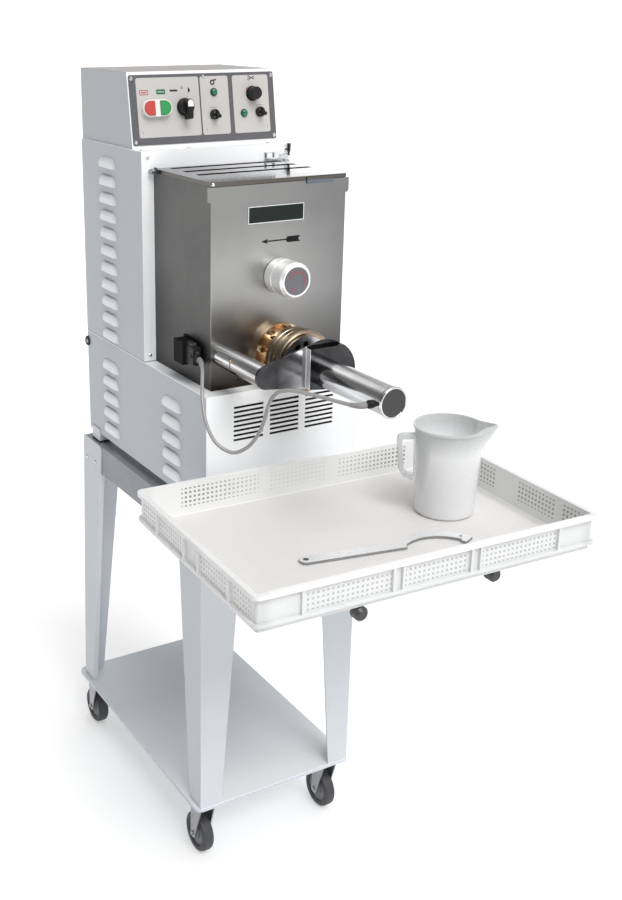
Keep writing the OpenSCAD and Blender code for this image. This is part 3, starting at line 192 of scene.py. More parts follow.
def noiseOn(nodes, links, coords, size, detail=3.0, roughness=0.55):
    n = nodes.new("ShaderNodeTexNoise")
    n.inputs["Scale"].default_value = size
    n.inputs["Detail"].default_value = detail
    n.inputs["Roughness"].default_value = roughness
    links.new(coords, n.inputs["Vector"])
    return n.outputs["Fac"]


def spread(nodes, links, value, low, high, fromLow=0.3, fromHigh=0.7):
    m = nodes.new("ShaderNodeMapRange")
    m.inputs["From Min"].default_value = fromLow
    m.inputs["From Max"].default_value = fromHigh
    m.inputs["To Min"].default_value = low
    m.inputs["To Max"].default_value = high
    links.new(value, m.inputs["Value"])
    return m.outputs["Result"]


def blend(nodes, links, share, a, b, kind="FLOAT"):
    # From a to b by the share, where each is a fixed value or another node's output
    m = nodes.new("ShaderNodeMix")
    m.data_type = kind
    links.new(share, m.inputs["Factor"])
    for socket, value in (("A", a), ("B", b)):
        if hasattr(value, "links"):
            links.new(value, m.inputs[socket])
        else:
            m.inputs[socket].default_value = value
    return m.outputs["Result"]


def mixColours(nodes, links, share, a, b):
    a, b = [c if hasattr(c, "links") else (*c, 1) for c in (a, b)]
    return blend(nodes, links, share, a, b, "RGBA")


def bumpFrom(nodes, links, value, strength, depth):
    b = nodes.new("ShaderNodeBump")
    b.inputs["Strength"].default_value = strength
    b.inputs["Distance"].default_value = depth
    links.new(value, b.inputs["Height"])
    return b.outputs["Normal"]


def calc(nodes, links, operation, a, b=None):
    m = nodes.new("ShaderNodeMath")
    m.operation = operation
    for i, value in enumerate((a, b)):
        if hasattr(value, "links"):
            links.new(value, m.inputs[i])
        elif value is not None:
            m.inputs[i].default_value = value
    return m.outputs[0]


def cloudsAndGrain(nodes, links, f):
    # Broad soft clouds from 0 to 1, and a fine grain drawn out along the finish's streak
    clouds = noiseOn(nodes, links, objectCoords(nodes, links), f.get("cloudSize", 6), 4)
    grain = noiseOn(nodes, links, objectCoords(nodes, links, scale=f.get("streak", (1, 1, 1))),
                    f.get("grainSize", 400), f.get("grainDetail", 3))
    return spread(nodes, links, clouds, 0, 1), grain


coatRoughness = 0.12


def surface(name, f):
    # A finish: two close colours blended by clouds, roughness and bump from the grain
    mat, nodes, links, shader = newMaterial(name)
    clouds, grain = cloudsAndGrain(nodes, links, f)
    colour = mixColours(nodes, links, clouds, f["colour"], f["second"])
    if "streakColour" in f:
        share = spread(nodes, links, grain, 0, f["streakShare"], *f["streakFrom"])
        colour = mixColours(nodes, links, share, colour, f["streakColour"])
    links.new(colour, shader.inputs["Base Color"])
    links.new(spread(nodes, links, grain, *f["rough"]), shader.inputs["Roughness"])
    links.new(bumpFrom(nodes, links, grain, f.get("bump", 0.1), f.get("depth", 0.0004)),
              shader.inputs["Normal"])
    shader.inputs["Metallic"].default_value = f.get("metal", 0)
    shader.inputs["Specular IOR Level"].default_value = f.get("specular", 0.5)
    if "coat" in f:
        shader.inputs["Coat Weight"].default_value = f["coat"]
        shader.inputs["Coat Roughness"].default_value = coatRoughness
    return mat


steelGrain = {"streak": (1, 1, 40), "grainSize": 60, "grainDetail": 6, "bump": 0.05,
              "depth": 0.0002}
bronzeGrain = {"streak": (1, 60, 1), "grainSize": 30, "grainDetail": 5, "bump": 0.08,
               "depth": 0.0003}
buttonGloss = {"rough": (0.25, 0.38), "grainSize": 700, "bump": 0.04, "coat": 0.2}
finishes = {
    "cabinetPaint": {"colour": (0.46, 0.49, 0.53), "second": (0.475, 0.505, 0.545),
                     "rough": (0.34, 0.46), "grainSize": 900, "bump": 0.06, "coat": 0.15},
    "standPaint": {"colour": (0.55, 0.585, 0.625), "second": (0.575, 0.61, 0.65),
                   "rough": (0.36, 0.5), "grainSize": 800, "bump": 0.08, "coat": 0.1},
    # Painted shade: the rails take a darker grey than the stand's paint, the shade under the cabinet
    "railPaintShaded": {"colour": (0.19, 0.20, 0.22), "second": (0.27, 0.285, 0.31),
                  "rough": (0.36, 0.5), "grainSize": 800, "bump": 0.08, "coat": 0.1},
    # Painted highlight: the louvre hoods lighter than the cabinet's paint
    "louvreHighlight": {"colour": (0.80, 0.815, 0.84), "second": (0.83, 0.845, 0.865),
                    "rough": (0.3, 0.42)},
    "seamShade": {"colour": (0.16, 0.17, 0.185), "second": (0.2, 0.21, 0.225),
                  "rough": (0.4, 0.5)},
    "frontPaint": {"colour": (0.89, 0.90, 0.915), "second": (0.91, 0.92, 0.93),
                   "rough": (0.28, 0.4), "grainSize": 900, "bump": 0.05, "coat": 0.2},
    "headPaint": {"colour": (0.44, 0.465, 0.49), "second": (0.455, 0.48, 0.505),
                  "rough": (0.34, 0.46), "grainSize": 900, "bump": 0.06, "coat": 0.15},
    # Painted shade: the head's top face darker than its sides
    "headTopShade": {"colour": (0.28, 0.265, 0.255), "second": (0.30, 0.285, 0.275),
                "rough": (0.34, 0.46), "coat": 0.15},
    "fasciaFilm": {"colour": (0.115, 0.113, 0.123), "second": (0.13, 0.128, 0.138),
                   "rough": (0.42, 0.55), "grainSize": 1100, "bump": 0.2, "specular": 0.3,
                   "streakColour": (0.03, 0.03, 0.035), "streakShare": 0.7,
                   "streakFrom": (0.48, 0.62)},
    "windowFilm": {"colour": (0.47, 0.455, 0.44), "second": (0.50, 0.485, 0.47),
                   "rough": (0.4, 0.5), "grainSize": 1500, "bump": 0.03},
    "hopperSteel": {"colour": (0.24, 0.24, 0.237), "second": (0.28, 0.28, 0.277), "metal": 1,
                    "rough": (0.28, 0.42), **steelGrain},
    # Painted reflection on the hopper's front: a lighter middle band, a darker right side, a near-black
    # bottom
    "hopperMidReflection": {"colour": (0.37, 0.368, 0.362), "second": (0.42, 0.418, 0.412), "metal": 1,
                  "rough": (0.3, 0.42)},
    "hopperLowReflection": {"colour": (0.03, 0.026, 0.023), "second": (0.042, 0.037, 0.033), "metal": 1,
                  "rough": (0.25, 0.38)},
    "hopperRightReflection": {"colour": (0.19, 0.19, 0.193), "second": (0.23, 0.23, 0.233), "metal": 1,
                    "rough": (0.3, 0.42)},
    # Painted reflection: the casing's dark steel, darkest towards the bottom
    "casingSteel": {"colour": (0.13, 0.13, 0.13), "second": (0.17, 0.17, 0.165), "metal": 1,
                    "rough": (0.42, 0.56), **steelGrain},
    "casingLowReflection": {"colour": (0.05, 0.05, 0.05), "second": (0.075, 0.075, 0.073), "metal": 1,
                  "rough": (0.42, 0.56)},
    # Painted reflection on the lid's steel: a dark edge, a bright top towards the right, a dark left
    # part, a bluish tab
    "lidEdgeReflection": {"colour": (0.10, 0.095, 0.09), "second": (0.13, 0.12, 0.11), "metal": 1,
                "rough": (0.14, 0.24)},
    "lidTopReflection": {"colour": (0.66, 0.665, 0.67), "second": (0.76, 0.765, 0.77), "metal": 1,
               "rough": (0.05, 0.12)},
    "lidLeftReflection": {"colour": (0.06, 0.06, 0.062), "second": (0.09, 0.09, 0.092), "metal": 1,
                "rough": (0.08, 0.16)},
    "lidTabReflection": {"colour": (0.13, 0.15, 0.18), "second": (0.19, 0.21, 0.25), "metal": 1,
               "rough": (0.2, 0.3)},
    # Painted reflection: the guard's near-black steel with lighter clouds, a lighter middle band, and a
    # painted highlight along the gear case's edge
    "guardSteel": {"colour": (0.02, 0.02, 0.022), "second": (0.075, 0.075, 0.078), "metal": 1,
                   "rough": (0.06, 0.14), "streak": (30, 1, 1), "grainSize": 60,
                   "grainDetail": 5, "bump": 0.03, "depth": 0.0002, "cloudSize": 22},
    "guardMidReflection": {"colour": (0.16, 0.16, 0.165), "second": (0.50, 0.50, 0.51), "metal": 1,
                 "rough": (0.08, 0.18)},
    "caseEdgeHighlight": {"colour": (0.62, 0.63, 0.64), "second": (0.74, 0.745, 0.75), "metal": 0.6,
                 "rough": (0.3, 0.4)},
    "motorChrome": {"colour": (0.62, 0.625, 0.635), "second": (0.76, 0.765, 0.775), "metal": 1,
                    "rough": (0.13, 0.24), "streak": (1, 0.02, 1), "grainSize": 90,
                    "grainDetail": 4, "bump": 0.03, "depth": 0.0002},
    "brightChrome": {"colour": (0.66, 0.67, 0.685), "second": (0.76, 0.765, 0.78), "metal": 1,
                     "rough": (0.05, 0.11), "grainSize": 300, "bump": 0.015},
    "screwSteel": {"colour": (0.52, 0.525, 0.535), "second": (0.74, 0.745, 0.755), "metal": 0.8,
                   "rough": (0.12, 0.24), "grainSize": 200, "bump": 0.05, "cloudSize": 60},
    # The dark brown streaks along the tubes are painted reflection
    "tubeChrome": {"colour": (0.55, 0.555, 0.565), "second": (0.74, 0.745, 0.755), "metal": 1,
                   "rough": (0.05, 0.12), "streak": (1, 0.03, 1), "grainSize": 75,
                   "grainDetail": 2, "bump": 0.02, "streakColour": (0.10, 0.08, 0.065),
                   "streakShare": 0.9, "streakFrom": (0.5, 0.62)},
    "turnedSteel": {"colour": (0.55, 0.55, 0.56), "second": (0.62, 0.62, 0.63), "metal": 1,
                    "rough": (0.16, 0.3), "streak": (1, 50, 1), "grainSize": 40,
                    "grainDetail": 5, "bump": 0.08, "depth": 0.0003},
    "bronze": {"colour": (0.48, 0.29, 0.15), "second": (0.95, 0.78, 0.58), "metal": 1,
               "rough": (0.14, 0.28), "cloudSize": 45, **bronzeGrain},
    "ringBronze": {"colour": (0.30, 0.225, 0.15), "second": (0.46, 0.375, 0.28), "metal": 1,
                   "rough": (0.2, 0.36), "cloudSize": 30, **bronzeGrain},
    "boltBronze": {"colour": (0.62, 0.52, 0.40), "second": (0.85, 0.76, 0.62), "metal": 1,
                   "rough": (0.12, 0.24), "grainSize": 120, "bump": 0.03, "cloudSize": 60},
    "slotBronze": {"colour": (0.20, 0.12, 0.05), "second": (0.34, 0.22, 0.10), "metal": 1,
                   "rough": (0.2, 0.36), "grainSize": 200, "bump": 0.08},
    "knobAluminium": {"colour": (0.90, 0.90, 0.895), "second": (0.96, 0.96, 0.955), "metal": 0.45,
                      "rough": (0.22, 0.38), "streak": (1, 60, 1), "grainSize": 40,
                      "grainDetail": 5, "bump": 0.12, "depth": 0.0003},
    "knobFace": {"colour": (0.14, 0.14, 0.15), "second": (0.19, 0.19, 0.205), "metal": 1,
                 "rough": (0.25, 0.4), "grainSize": 300, "bump": 0.05},
    "zincPlate": {"colour": (0.30, 0.305, 0.32), "second": (0.42, 0.425, 0.44), "metal": 1,
                  "rough": (0.3, 0.5), "grainSize": 120, "bump": 0.1},
    "padRubber": {"colour": (0.018, 0.018, 0.02), "second": (0.03, 0.03, 0.033),
                  "rough": (0.6, 0.8), "grainSize": 500, "bump": 0.2},
    "cordSheath": {"colour": (0.26, 0.255, 0.25), "second": (0.31, 0.305, 0.30),
                   "rough": (0.24, 0.36), "grainSize": 700, "bump": 0.05, "coat": 0.3},
    "bootRubber": {"colour": (0.20, 0.195, 0.19), "second": (0.25, 0.245, 0.24),
                   "rough": (0.5, 0.65), "grainSize": 700, "bump": 0.1},
    "blackPlastic": {"colour": (0.010, 0.010, 0.011), "second": (0.017, 0.017, 0.019),
                     "rough": (0.34, 0.5), "grainSize": 700, "bump": 0.06, "specular": 0.25},
    "socketBlack": {"colour": (0.006, 0.006, 0.007), "second": (0.011, 0.011, 0.012),
                    "rough": (0.6, 0.75), "grainSize": 500, "bump": 0.1, "specular": 0.1},
    "capPlastic": {"colour": (0.03, 0.03, 0.032), "second": (0.045, 0.045, 0.048),
                   "rough": (0.3, 0.45), "grainSize": 700, "bump": 0.06},
    "capGloss": {"colour": (0.008, 0.008, 0.010), "second": (0.014, 0.014, 0.016),
                 "rough": (0.10, 0.18), "grainSize": 300, "bump": 0.03, "coat": 0.4},
    "whitePlastic": {"colour": (0.74, 0.73, 0.69), "second": (0.78, 0.77, 0.74), **buttonGloss},
    "redPlastic": {"colour": (0.46, 0.045, 0.035), "second": (0.52, 0.06, 0.045), **buttonGloss},
    "greenPlastic": {"colour": (0.02, 0.25, 0.065), "second": (0.03, 0.30, 0.08), **buttonGloss},
    "greenLens": {"colour": (0.0, 0.10, 0.055), "second": (0.0, 0.15, 0.08),
                  "rough": (0.1, 0.2), "grainSize": 200, "bump": 0.03, "coat": 0.5},
    "lampRing": {"colour": (0.0, 0.035, 0.02), "second": (0.0, 0.055, 0.03),
                 "rough": (0.2, 0.35), "grainSize": 300, "bump": 0.05},
    "plateEnamel": {"colour": (0.006, 0.009, 0.008), "second": (0.012, 0.019, 0.017),
                    "rough": (0.12, 0.2), "grainSize": 500, "bump": 0.02, "specular": 0.2},
    "jugPlastic": {"colour": (0.90, 0.905, 0.91), "second": (0.93, 0.935, 0.94),
                   "rough": (0.2, 0.3), "grainSize": 300, "bump": 0.03, "alpha": 0.7},
    # Painted shade: the jug's top and its part left of x 0.122 darker
    "jugShade": {"colour": (0.60, 0.61, 0.615), "second": (0.64, 0.65, 0.655),
                "rough": (0.2, 0.3)},
    "motorPaint": {"colour": (0.07, 0.10, 0.135), "second": (0.09, 0.12, 0.16),
                   "rough": (0.3, 0.45), "grainSize": 300, "bump": 0.2},
    "castGrey": {"colour": (0.16, 0.17, 0.18), "second": (0.22, 0.23, 0.24),
                 "rough": (0.45, 0.65), "grainSize": 260, "bump": 0.4, "metal": 0.3},
    "oiledSteel": {"colour": (0.15, 0.15, 0.155), "second": (0.24, 0.24, 0.25), "metal": 1,
                   "rough": (0.28, 0.5), "grainSize": 300, "bump": 0.2},
    "spannerSteel": {"colour": (0.80, 0.81, 0.82), "second": (0.87, 0.875, 0.88), "metal": 0.45,
                     "rough": (0.26, 0.34), "streak": (1, 12, 1), "grainSize": 60,
                     "bump": 0.01},
    # Painted reflection: the spanner's sides darker than its top face
    "spannerEdgeReflection": {"colour": (0.28, 0.285, 0.29), "second": (0.38, 0.385, 0.39), "metal": 1,
                    "rough": (0.2, 0.3)},
    "inkBlack": {"colour": (0.006, 0.006, 0.006), "second": (0.01, 0.01, 0.01),
                 "rough": (0.45, 0.6), "grainSize": 900, "bump": 0.02, "specular": 0.15},
    "inkRed": {"colour": (0.36, 0.02, 0.02), "second": (0.42, 0.03, 0.03),
               "rough": (0.4, 0.5), "grainSize": 900, "bump": 0.02},
    "inkGreen": {"colour": (0.01, 0.11, 0.05), "second": (0.015, 0.14, 0.06),
                 "rough": (0.4, 0.5), "grainSize": 900, "bump": 0.02},
}
materials = {name: surface(name, f) for name, f in finishes.items()}


def splitFinish(name, base, layers):
    # Finishes side by side in one material: each layer (axis, from, to, finish) takes over along
    # its axis or direction, from nothing at the first place to the whole at the second
    mat, nodes, links, shader = newMaterial(name)
    f = finishes[base]
    coords = objectCoords(nodes, links)
    place = nodes.new("ShaderNodeSeparateXYZ")
    links.new(coords, place.inputs[0])
    clouds, grain = cloudsAndGrain(nodes, links, f)
    colour = mixColours(nodes, links, clouds, f["colour"], f["second"])
    rough = spread(nodes, links, grain, *f["rough"])
    metal = f.get("metal", 0)
    for axis, start, end, finish in layers:
        g = finishes[finish]
        if axis in ("X", "Y", "Z"):
            along = place.outputs[axis]
        else:
            dot = nodes.new("ShaderNodeVectorMath")
            dot.operation = "DOT_PRODUCT"
            dot.inputs[1].default_value = axis
            links.new(coords, dot.inputs[0])
            along = dot.outputs["Value"]
        share = spread(nodes, links, along, 0, 1, start, end)
        colour = mixColours(nodes, links, share, colour,
                            mixColours(nodes, links, clouds, g["colour"], g["second"]))
        rough = blend(nodes, links, share, rough, spread(nodes, links, grain, *g["rough"]))
        metal = blend(nodes, links, share, metal, g.get("metal", 0))
    links.new(colour, shader.inputs["Base Color"])
    links.new(rough, shader.inputs["Roughness"])
    if hasattr(metal, "links"):
        links.new(metal, shader.inputs["Metallic"])
    shader.inputs["Alpha"].default_value = f.get("alpha", 1)
    links.new(bumpFrom(nodes, links, grain, f.get("bump", 0.05), f.get("depth", 0.0003)),
              shader.inputs["Normal"])
    return mat


tray = {
    "middle": (0, -0.300, 0), "turn": 2.5, "pitch": 0.008, "open": 0.46,
    "through": 0.5, "milky": (0.15, 0.3, 0.27, 0.28), "dark": (0.15, 0.85, 0.05, 0.2),
    # Painted shade: dark holes in the rear wall's ends and the wall at +x, and darker squares for the
    # floor's small holes
    "holeShadeColour": (0.05, 0.05, 0.055), "litColour": (0.92, 0.92, 0.915), "rim": 0.7885,
    "rows": (0.7535, 0.7865), "floor": 0.7405, "wall": (0.2885, 0.1885),
    "longPanels": ((0.0, 0.056), (0.150, 0.072)), "shortPanels": ((0.072, 0.044), (0.155, 0.026)),
    "colour": (0.73, 0.735, 0.74), "second": (0.77, 0.775, 0.775),
    "floorColour": (0.76, 0.745, 0.73), "floorSecond": (0.798, 0.78225, 0.7665),
    "mesh": {"pitch": 0.006, "open": 0.4, "share": 0.35, "colour": (0.36, 0.35, 0.34)},
    "rough": (0.34, 0.5), "cloudSize": 9, "grainSize": 500, "bump": 0.05, "depth": 0.0003,
}


def trayFinish(name, t):
    # White moulded crate: square holes in rows through the walls' panels, small ones in its floor,
    # drawn as darker squares of painted shade
    mat, nodes, links, shader = newMaterial(name)
    turn = nodes.new("ShaderNodeVectorRotate")
    turn.rotation_type = "Z_AXIS"
    turn.inputs["Angle"].default_value = math.radians(t["turn"])
    links.new(objectCoords(nodes, links, centre=t["middle"]), turn.inputs["Vector"])
    place = nodes.new("ShaderNodeSeparateXYZ")
    links.new(turn.outputs[0], place.inputs[0])
    x, y, z = place.outputs

    def op(operation, a, b=None):
        return calc(nodes, links, operation, a, b)

    def both(first, *others):
        for other in others:
            first = op("MULTIPLY", first, other)
        return first

    def cells(v, c):
        return op("LESS_THAN", op("FRACT", op("MULTIPLY", v, 1 / c["pitch"])), c["open"])

    def panels(v, pair):
        near = [op("LESS_THAN", op("ABSOLUTE", op("SUBTRACT", v, middle)), half)
                for middle, half in pair]
        return op("MAXIMUM", *near)

    acrossX, acrossY = op("ABSOLUTE", x), op("ABSOLUTE", y)
    endWall, longWall = t["wall"]
    rows = both(op("GREATER_THAN", z, t["rows"][0]), op("LESS_THAN", z, t["rows"][1]), cells(z, t))
    long = both(op("GREATER_THAN", acrossY, longWall), panels(acrossX, t["longPanels"]), cells(x, t))
    short = both(op("GREATER_THAN", acrossX, endWall), panels(acrossY, t["shortPanels"]), cells(y, t))
    holes = both(rows, op("MAXIMUM", long, short))
    low = both(op("LESS_THAN", z, t["floor"]), op("LESS_THAN", acrossX, endWall),
               op("LESS_THAN", acrossY, longWall))
    cloud, grain = cloudsAndGrain(nodes, links, t)
    walls = mixColours(nodes, links, cloud, t["colour"], t["second"])
    base = mixColours(nodes, links, cloud, t["floorColour"], t["floorSecond"])
    mesh = both(cells(x, t["mesh"]), cells(y, t["mesh"]), t["mesh"]["share"])
    base = mixColours(nodes, links, mesh, base, t["mesh"]["colour"])
    # The holes in the rear wall's ends and the wall at +x are painted dark, painted shade seen through
    # them; the others are clear
    inner = op("MAXIMUM", op("GREATER_THAN", y, longWall), op("GREATER_THAN", x, endWall))
    away = spread(nodes, links, acrossX, *t["dark"])
    frontWall = both(op("LESS_THAN", y, -longWall), op("LESS_THAN", z, t["rim"]))
    walls = mixColours(nodes, links, frontWall, t["litColour"], walls)
    walls = mixColours(nodes, links, both(holes, inner, away), walls, t["holeShadeColour"])
    links.new(mixColours(nodes, links, low, walls, base), shader.inputs["Base Color"])
    links.new(spread(nodes, links, grain, *t["rough"]), shader.inputs["Roughness"])
    links.new(bumpFrom(nodes, links, grain, t["bump"], t["depth"]), shader.inputs["Normal"])
    # The plastic lets some light through, most of all in the two end walls
    milky = nodes.new("ShaderNodeBsdfTranslucent")
    milky.inputs["Color"].default_value = (*t["second"], 1)
    glow = nodes.new("ShaderNodeMixShader")
    links.new(spread(nodes, links, acrossX, *t["milky"]), glow.inputs[0])
    links.new(shader.outputs[0], glow.inputs[1])
    links.new(milky.outputs[0], glow.inputs[2])
    clear = nodes.new("ShaderNodeBsdfTransparent")
    mix = nodes.new("ShaderNodeMixShader")
    links.new(both(holes, op("SUBTRACT", 1, inner), t["through"]), mix.inputs[0])
    links.new(glow.outputs[0], mix.inputs[1])
    links.new(clear.outputs[0], mix.inputs[2])
    links.new(mix.outputs[0], nodes["Material Output"].inputs[0])
    return mat


wheel = {
    "tyreFrom": 0.0255, "edge": 0.0003, "hub": ((0.16, 0.165, 0.18), (0.2, 0.205, 0.22)),
    "tyre": ((0.035, 0.035, 0.038), (0.06, 0.06, 0.064)),
    "rough": (0.45, 0.65), "grainSize": 500, "bump": 0.15, "depth": 0.0004,
}


def wheelFinish(name, centre, w):
    # Dark rubber outside a radius round the axle, grey moulded hub inside it
    mat, nodes, links, shader = newMaterial(name)
    size = nodes.new("ShaderNodeVectorMath")
    size.operation = "LENGTH"
    links.new(objectCoords(nodes, links, centre=centre, scale=(0, 1, 1)), size.inputs[0])
    outer = spread(nodes, links, size.outputs["Value"], 0, 1, w["tyreFrom"] - w["edge"],
                   w["tyreFrom"] + w["edge"])
    grain = noiseOn(nodes, links, objectCoords(nodes, links), w["grainSize"])
    share = spread(nodes, links, grain, 0, 1)
    hub, tyre = [mixColours(nodes, links, share, *w[part]) for part in ("hub", "tyre")]
    links.new(mixColours(nodes, links, outer, hub, tyre), shader.inputs["Base Color"])
    links.new(spread(nodes, links, grain, *w["rough"]), shader.inputs["Roughness"])
    links.new(bumpFrom(nodes, links, grain, w["bump"], w["depth"]), shader.inputs["Normal"])
    return mat


splits = {
    # Painted reflection across the lid's steel
    "lidSteel": ("lidLeftReflection", [("X", -0.06, 0.09, "lidTopReflection"), ("Z", 1.2690, 1.2686, "lidEdgeReflection"),
                             ("Z", 1.2625, 1.2621, "lidTabReflection")]),
    # The top face above z 1.4266 takes the painted shade
    "headCase": ("headPaint", [("Z", 1.4262, 1.4266, "headTopShade"),
                               ((0, -0.98819, 0.15321), -0.0013, -0.0010, "frontPaint")]),
    # Painted highlight on the louvre hoods beyond |x| 0.1526
    "upperPaint": ("cabinetPaint", [("X", -0.1526, -0.1572, "louvreHighlight"),
                                    ("X", 0.1526, 0.1572, "louvreHighlight"),
                                    ("Y", 0.1603, 0.1600, "frontPaint"),
                                    ("Z", 1.2976, 1.2979, "frontPaint"),
                                    ("Z", 0.9258, 0.9253, "seamShade")]),
    # Painted highlight on the louvre hoods beyond |x| 0.1526
    "lowerPaint": ("cabinetPaint", [("X", -0.1526, -0.1572, "louvreHighlight"),
                                    ("X", 0.1526, 0.1572, "louvreHighlight"),
                                    # Painted highlight: above z 0.923 the lower cabinet's top edge and
                                    # ledge take the white front paint
                                    ("Z", 0.9226, 0.9230, "frontPaint")]),
    # Painted light: the shelf turns to the white front paint towards its front edge
    "shelfPaintedLight": ("standPaint", [("Y", 0.30, -0.04, "frontPaint"),
                                  ("Z", 0.1264, 0.1261, "standPaint")]),
    # Painted reflection, darkening towards the casing's bottom
    "casingFace": ("casingSteel", [("Z", 1.12, 0.92, "casingLowReflection")]),
    # Painted reflection across the hopper's front
    "hopperFace": ("hopperSteel", [("Z", 1.22, 1.13, "hopperMidReflection"), ("X", 0.0, 0.15, "hopperRightReflection"),
                                   ("Z", 1.08, 0.93, "hopperLowReflection")]),
    # Painted reflection across the guard, with a painted highlight on the gear case's edge
    "guardFace": ("guardSteel", [("X", -0.088, -0.045, "guardMidReflection"), ("X", -0.0364, -0.0360, "caseEdgeHighlight"),
                                 ("X", -0.0345, -0.0341, "guardSteel")]),
    # Painted reflection on the spanner's sides
    "spannerFace": ("spannerSteel", [("Z", 0.7450, 0.7447, "spannerEdgeReflection")]),
    # Painted shade on the jug's top and left part
    "jugBody": ("jugPlastic", [("Z", 0.850, 0.878, "jugShade"), ("X", 0.126, 0.122, "jugShade")]),
    "rodChrome": ("brightChrome", [("Y", -0.4735, -0.4740, "capPlastic")]),
    "latchMetal": ("brightChrome", [("X", 0.1383, 0.1386, "blackPlastic")]),
}
for name, (base, layers) in splits.items():
    materials[name] = splitFinish(name, base, layers)
materials["trayPlastic"] = trayFinish("trayPlastic", tray)

nodeFinish = {
    "shelf": "shelfPaintedLight", "legs": "standPaint", "rails": "railPaintShaded",
    "tray_rods": "rodChrome", "foot_pads": "padRubber", "caster_plates": "zincPlate",
    "lower_shell": "lowerPaint", "lower_front": "frontPaint", "upper_shell": "upperPaint",
    "head_case": "headCase", "fascia": "fasciaFilm", "button_bezel": "whitePlastic",
    "switch_bases": "blackPlastic", "lamp_lenses": "greenLens", "case_screws": "screwSteel",
    "hopper_casing": "casingFace", "hopper_front": "hopperFace",
    "hopper_trough": "hopperSteel", "lid_bosses": "zincPlate", "name_plate": "plateEnamel",
    "extruder_barrel": "bronze", "flange_bolts": "boltBronze", "die": "turnedSteel",
    "arm_sleeve": "tubeChrome", "socket_box": "socketBlack", "cord_plug": "blackPlastic",
    "latch_bracket": "brightChrome", "drive_motor": "motorPaint", "bearing_block": "castGrey",
    "drive_chain": "oiledSteel", "stop_button": "redPlastic", "start_button": "greenPlastic",
    "selector_knob": "blackPlastic", "vent_toggle": "blackPlastic",
    "cut_toggle": "blackPlastic", "speed_knob": "blackPlastic", "lid_grille": "lidSteel",
    "latch_lever": "latchMetal", "mixer_shaft": "turnedSteel", "mixer_knob": "knobAluminium",
    "auger": "turnedSteel", "ring_nut": "ringBronze", "arm_tube": "tubeChrome",
    "guard_plate": "guardFace", "motor_tube": "motorChrome", "end_cap": "capGloss",
    "cable_gland": "blackPlastic", "cutter_blade": "turnedSteel", "tray": "trayPlastic",
    "jug": "jugBody", "spanner": "spannerFace", "cutter_cord": "cordSheath",
}
for corner in ("front_left", "front_right", "rear_left", "rear_right"):
    nodeFinish["fork_" + corner] = "zincPlate"
    low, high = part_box("wheel_" + corner)
    name = "wheel" + corner.title().replace("_", "")
    materials[name] = wheelFinish(name, tuple((low + high) / 2), wheel)
    nodeFinish["wheel_" + corner] = name


def dress(piece, finish):
    piece.data.materials.clear()
    piece.data.materials.append(materials[finish])


for node, finish in nodeFinish.items():
    dress(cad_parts[node], finish)
dress(cutterCord, "cordSheath")
for boot in cordBoots:
    dress(boot, "bootRubber")
print("materials:", len(materials))


def plateFrom(outline, thickness, place):
    # A flat plate: the outline at two depths, joined round its edge; place puts it in the part
    outline = np.asarray(outline, float)
    n = len(outline)
    a, b = place(outline, 0.0), place(outline, thickness)
    k = np.arange(n)
    walls = np.stack([k, (k + 1) % n, (k + 1) % n + n, k + n], -1).tolist()
    return np.vstack([a, b]), walls + [k[::-1].tolist(), (k + n).tolist()]


def joinShapes(shapes):
    points, faces, start = [], [], 0
    for p, f in shapes:
        points.append(p)
        faces += [[i + start for i in face] for face in f]
        start += len(p)
    return np.vstack(points), faces


def roundedOutline(w, h, r, cx=0, cy=0, steps=6):
    # Four quarter circles of radius r, joined by the rectangle's sides
    a = np.linspace(0, np.pi / 2, steps)
    corners = []
    for q, (sx, sy) in enumerate([(1, 1), (-1, 1), (-1, -1), (1, -1)]):
        t = a + q * np.pi / 2
        corners.append(np.stack([cx + sx * (w / 2 - r) + r * np.cos(t),
                                 cy + sy * (h / 2 - r) + r * np.sin(t)], -1))
    return np.vstack(corners)


def strokeOutline(points, width):
    # A band of the given width along a line of points
    p = np.asarray(points, float)
    t = np.gradient(p, axis=0)
    t /= np.linalg.norm(t, axis=1)[:, None]
    n = np.stack([-t[:, 1], t[:, 0]], -1) * width / 2
    return np.vstack([p - n, (p + n)[::-1]])


def arcPoints(cx, cy, r, a0, a1, steps=14):
    a = np.radians(np.linspace(a0, a1, steps))
    return np.stack([cx + r * np.cos(a), cy + r * np.sin(a)], -1)


def addPiece(name, shape, body, finish, slot, smooth=False):
    piece = makeMesh(name, *shape, smooth=smooth)
    dress(piece, finish)
    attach(piece, body)
    return piece


def addPlate(name, outlines, thickness, place, body, finish, slot):
    addPiece(name, joinShapes([plateFrom(o, thickness, place) for o in outlines]), body, finish,
             slot)


def revolved(profile, centre, axis, steps=64):
    # A profile of (radius, distance along the axis) turned once round the axis through centre
    axis = np.asarray(axis, float)
    side = np.cross(axis, [0.0, 0.0, 1.0] if abs(axis[2]) < 0.9 else [1.0, 0.0, 0.0])
    side /= np.linalg.norm(side)
    other = np.cross(axis, side)
    a = np.linspace(0, 2 * np.pi, steps, endpoint=False)
    r, h = np.asarray([row for row in profile if row[0] > 0], float).T
    ring = np.cos(a)[:, None] * side + np.sin(a)[:, None] * other
    points = (np.asarray(centre, float) + h[:, None, None] * axis + r[:, None, None] * ring[None])
    points, faces = points.reshape(-1, 3), gridFaces(len(r), steps, wrap=True)
    k = np.arange(steps)
    n = len(points)
    for (radius, height), first, second in ((profile[0], (k + 1) % steps, k),
                                            (profile[-1], k + n - steps, (k + 1) % steps + n - steps)):
        if radius == 0:      # a pole closes this end
            pole = np.full(steps, len(points))
            points = np.vstack([points, np.asarray(centre, float) + height * axis])
            faces += np.stack([first, second, pole], -1).tolist()
    return points, faces


